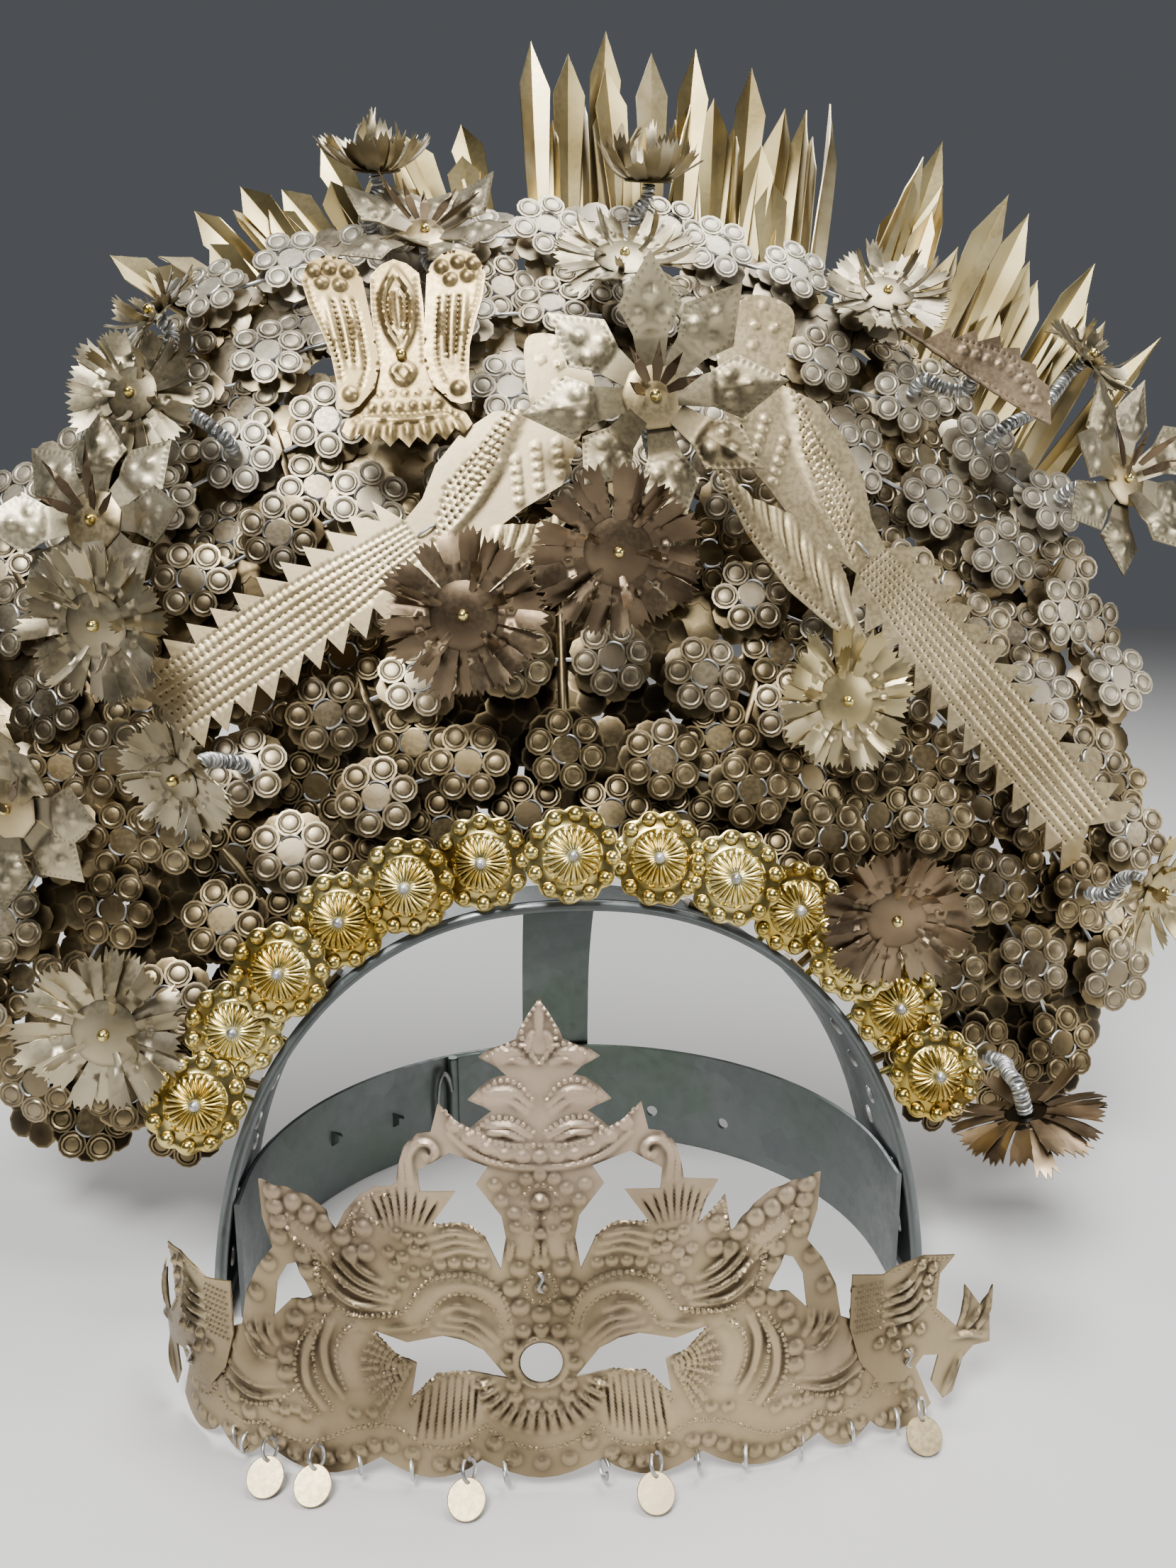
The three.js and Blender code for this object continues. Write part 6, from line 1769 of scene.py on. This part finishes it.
def browOrnament():
    domes, ridges = [], []
    for line in browDots.values():
        for points in bothSides(line):
            domes += dotLine(points, brow["dotPitch"], brow["dot"], brow["dotDeep"])
    for name, group in browFlutes.items():
        rise = brow["softFlute"] if name in ("feather", "panel", "neck") else brow["flute"]
        for line in group:
            ridges += [ridgeLine(points, 0.7, rise) for points in bothSides(line)]
    for row in browBumps.values():
        for points in bothSides(row["spots"]):
            domes += [(u, v, brow["bump"] * row["radius"], brow["bumpRise"] * row["height"]) for u, v in points]
    for row in browFans:
        starts, ends = smoothLine(row["from"], row["count"]), smoothLine(row["to"], row["count"])
        for start, end in zip(starts, ends):
            for points in bothSides([tuple(start), tuple((start + end) / 2), tuple(end)]):
                if row.get("beads"):
                    domes += dotLine(points, 1.15, 0.65, 0.5)
                elif row.get("grooves"):
                    ridges.append(ridgeLine(points, 0.38, -0.55))
                else:
                    ridges.append(ridgeLine(points, 0.6, 0.75))
    for row in browRings:
        for side in ((1, -1) if row["across"] else (1,)):
            domes.append((side * row["across"], row["up"], row["dome"], 1.1))
            for a in np.arange(row["dots"]) * 2 * math.pi / row["dots"]:
                across, up = side * row["across"] + row["ring"] * math.cos(a), row["up"] + row["ring"] * math.sin(a)
                domes.append((across, up, brow["dot"], brow["dotDeep"]))
    for side in (1, -1):
        curl = [(side * (21.4 + (3.0 - 0.36 * k) * math.cos(0.75 * k)), 67.4 + (3.0 - 0.36 * k) * math.sin(0.75 * k)) for k in range(8)]
        ridges.append(ridgeLine(curl, 0.6, 0.9))
    domes += dotLine(leftLeafDots, brow["dotPitch"], brow["dot"], brow["dotDeep"])
    for row in browPanels:
        ridges += [ridgeLine(points, row["width"], row["height"]) for points in bothSides(row["line"])]
    for a in np.radians(np.linspace(202, 338, browShell["flutes"])):
        # a shell of short flutes spreads below the hole
        reach = np.linspace(browShell["from"], browShell["to"], 3)
        ridges.append(ridgeLine([(r * math.cos(a), browCentreHole["up"] + r * math.sin(a)) for r in reach], 0.75, 0.95))
    rim = [(5 * math.cos(a), 24.9 + 5 * math.sin(a)) for a in np.linspace(0, 2 * math.pi, 24)]
    ridges.append(ridgeLine(rim, 0.6, 0.7))
    return domes, ridges


browRight = [point for part in browOutline.values() for point in part]
lowEdge = []
for row in browScallops:
    for share in np.linspace(0, 1, 9)[:-1]:
        across = row["from"] + (row["to"] - row["from"]) * share
        if across > 0.4:
            lowEdge.append((across, row["edge"] - row["drop"] * math.sin(math.pi * share)))
leftPoints = [point for part, points in browOutline.items() for point in browLeft.get(part, points)]
leftSide = [(-u, v) for u, v in (leftPoints + lowEdge[1:])[:0:-1]]
browEdge = browRight + lowEdge[1:] + [(0, 0.2)] + leftSide
holes = [np.array(points) for hole in browHoles.values() for points in bothSides(hole)]
ringTurns = np.arange(browCentreHole["sides"]) * 2 * math.pi / browCentreHole["sides"]
holes.append(np.array([(browCentreHole["radius"] * math.cos(a), browCentreHole["up"] + browCentreHole["radius"] * math.sin(a)) for a in ringTurns]))
domes, ridges = browOrnament()
plateForm = embossedSheet(
    "brow_plate_sheet", np.array(browEdge), "plateBrass", holes=holes, spacing=brow["spacing"], domes=domes, ridges=ridges,
    thick=brow["sheet"], warp=browWarp(brow["base"]),
)
rosy = np.clip((readPoints(plateForm)[:, 2] - brow["rosyFrom"]) / brow["rosyOver"], 0, 1)
paint(plateForm, "tone", 0.25 + 0.6 * rosy)  # the finial keeps a rosier coat than the lower part
plateForm.data.transform(browTilt)

# jump rings through the lower edge, each opened a little, and wire ties
ringRows = [11.8, 30.6, 40.5, 52.5, 63.7, 74.3, -37.1, -26.3, -7.6, -65.5, -61.4]
jumpRing = {"radius": 2.0, "wire": 0.38, "open": 0.2, "points": 20}


def openRing(start):
    # a round wire bent almost shut, in its own flat plane
    turns = start + np.linspace(jumpRing["open"], 2 * math.pi - jumpRing["open"], jumpRing["points"])
    line = [(jumpRing["radius"] * math.cos(a), jumpRing["radius"] * math.sin(a), 0.12 * (a - start)) for a in turns]
    return wireForm("jump_ring", [line], jumpRing["wire"], "drawnSteel")


forms = [plateForm]
for across in ringRows:
    ring = openRing(dice.uniform(0, 6))
    x, back = browPath(np.array([across]), 0.4)
    low = 1.6 if abs(across) < 56 else 2.4
    turn = Matrix.Rotation(math.pi / 2, 4, "Y") @ Matrix.Rotation(dice.uniform(-0.5, 0.5), 4, "X")
    ring.data.transform(browTilt @ Matrix.Translation((x[0], back[0], low)) @ turn)
    forms.append(ring)
for across, up in ((0, 42.2), (76.6, 16), (-76.6, 16)):
    x, back = browPath(np.array([across]), -0.9)
    knot = [(x[0] + 0.5 * math.sin(3 * a), back[0] - 0.4 * math.cos(a), up + 1.9 * math.sin(a)) for a in np.linspace(0, 2 * math.pi, 13)[:-1]]
    tie = wireForm("plate_tie", [knot], 0.3, "drawnSteel", 1, True)
    tie.data.transform(browTilt)
    forms.append(tie)
piece = joinAs("brow_plate_sheet", forms)
setDown(piece, "plate", "brow_plate")

# end wings of the brow plate
browWing = {
    "band": [(62.8, 37.2), (69.9, 35.8)],
    "wing": [(72.8, 36.9), (79.8, 37.9), (87.8, 36.2), (84, 33), (83.5, 25.4), (89.3, 19.6)],
    "fork": [(91, 28.7), (95.7, 22.7), (99.1, 26.4), (98.4, 20.1), (98.9, 13.4), (94.1, 14)],
    "stem": [(91.2, 12), (88.8, 5), (86.2, 4.2), (83, 9), (84.6, 14.6), (80.6, 15.6)],
    "body": [(76, 11), (70, 12), (65, 18), (62.5, 26)],
}
wingFlutes = [
    [(71.2, 31.4), (75.5, 32.6), (78.1, 35)], [(70.4, 29.4), (75.6, 30.2), (78.7, 33)], [(70.7, 27.2), (76.2, 27.6), (79.5, 30)],
    [(71.1, 25.1), (76.7, 25.2), (80.2, 26.9)], [(90.2, 20.6), (91.2, 24.3), (91.5, 27)], [(92.3, 18.8), (94.2, 20.9), (95.4, 22)],
    [(95, 17.8), (97.5, 21.1), (98.4, 24.9)], [(88, 18), (92.9, 17.2), (97.4, 15.4)], [(86.6, 5.6), (88, 8.8), (90.2, 12.6)],
]
wingBumps = [(79.1, 36), (82.1, 34.8), (80.9, 32.4), (80.8, 29.1), (72.5, 22.9), (76.1, 22.4), (69.5, 21), (79.6, 21.8), (73.7, 19.4), (77, 17)]
wingEdge = [point for part in browWing.values() for point in part]
for side, end in ((1, "right"), (-1, "left")):
    domes = [(side * u, v, 1.4, 1.1) for u, v in wingBumps]
    domes += [
        (side * (63.9 + 1.15 * k + 0.5 * (row % 2)), 24.4 + 1.25 * row, 0.5, 0.45) for k in range(6) for row in range(9)
    ]
    domes += [dot for line in ([(72.6, 35.8), (79.6, 36.9), (86, 35.8)], [(83, 33), (82.4, 26), (86, 21.5)])
              for dot in dotLine([(side * u, v) for u, v in line], 1.2, 0.5, 0.4)]
    ridges = [ridgeLine([(side * u, v) for u, v in line], 0.65, 1.0) for line in wingFlutes]
    outline = np.array([(side * u, v) for u, v in wingEdge])
    form = embossedSheet(
        "brow_wing", outline, "plateBrass", spacing=0.6, domes=domes, ridges=ridges, thick=0.4, warp=browWarp(-0.55),
    )
    form.data.transform(browTilt)
    piece = joinAs("brow_wing_%s_sheet" % end, [form])
    setDown(piece, "plate", "brow_wing_" + end)
print("brow plate is beaten")

# drops: thin discs on jump rings, leaning out from the lower edge
drop = {"radius": 3.7, "thick": 0.8, "tilt": math.radians(45), "ahead": 5.12, "ringTurn": math.radians(62)}
dropRows = [-55, -45, -14.5, 22, 80]
dropProfile = [(3.55, -0.32), (3.7, -0.2), (3.7, 0.1), (3.55, 0.22), (2.2, 0.22), (0, 0.25)]
discForm = turnedForm("disc", dropProfile, 32, "tailBrass")
for number, across in enumerate(dropRows):
    ring = openRing(2.0)
    hung = Matrix.Translation((0, drop["radius"] + jumpRing["radius"] - 0.9, 0))
    ring.data.transform(hung @ Matrix.Rotation(drop["ringTurn"], 4, "Y"))
    disc = copyOf(discForm, Matrix(), dice.uniform(0.0, 0.6))
    x, back = browPath(np.array([across]), 0.0)
    low = drop["radius"] * math.sin(drop["tilt"]) + drop["thick"] * 0.5 * math.cos(drop["tilt"])
    place = browStand @ Matrix.Translation((x[0], back[0] - drop["ahead"], low - brow["z"] + 0.02))
    piece = joinAs("drop_%d_disc" % (number + 1), [disc, ring])
    piece.data.transform(place @ Matrix.Rotation(math.pi / 2 - drop["tilt"], 4, "X"))
    setDown(piece, "plate", "drop_%d" % (number + 1))
discard(discForm)
print("drops hang from the lower edge")
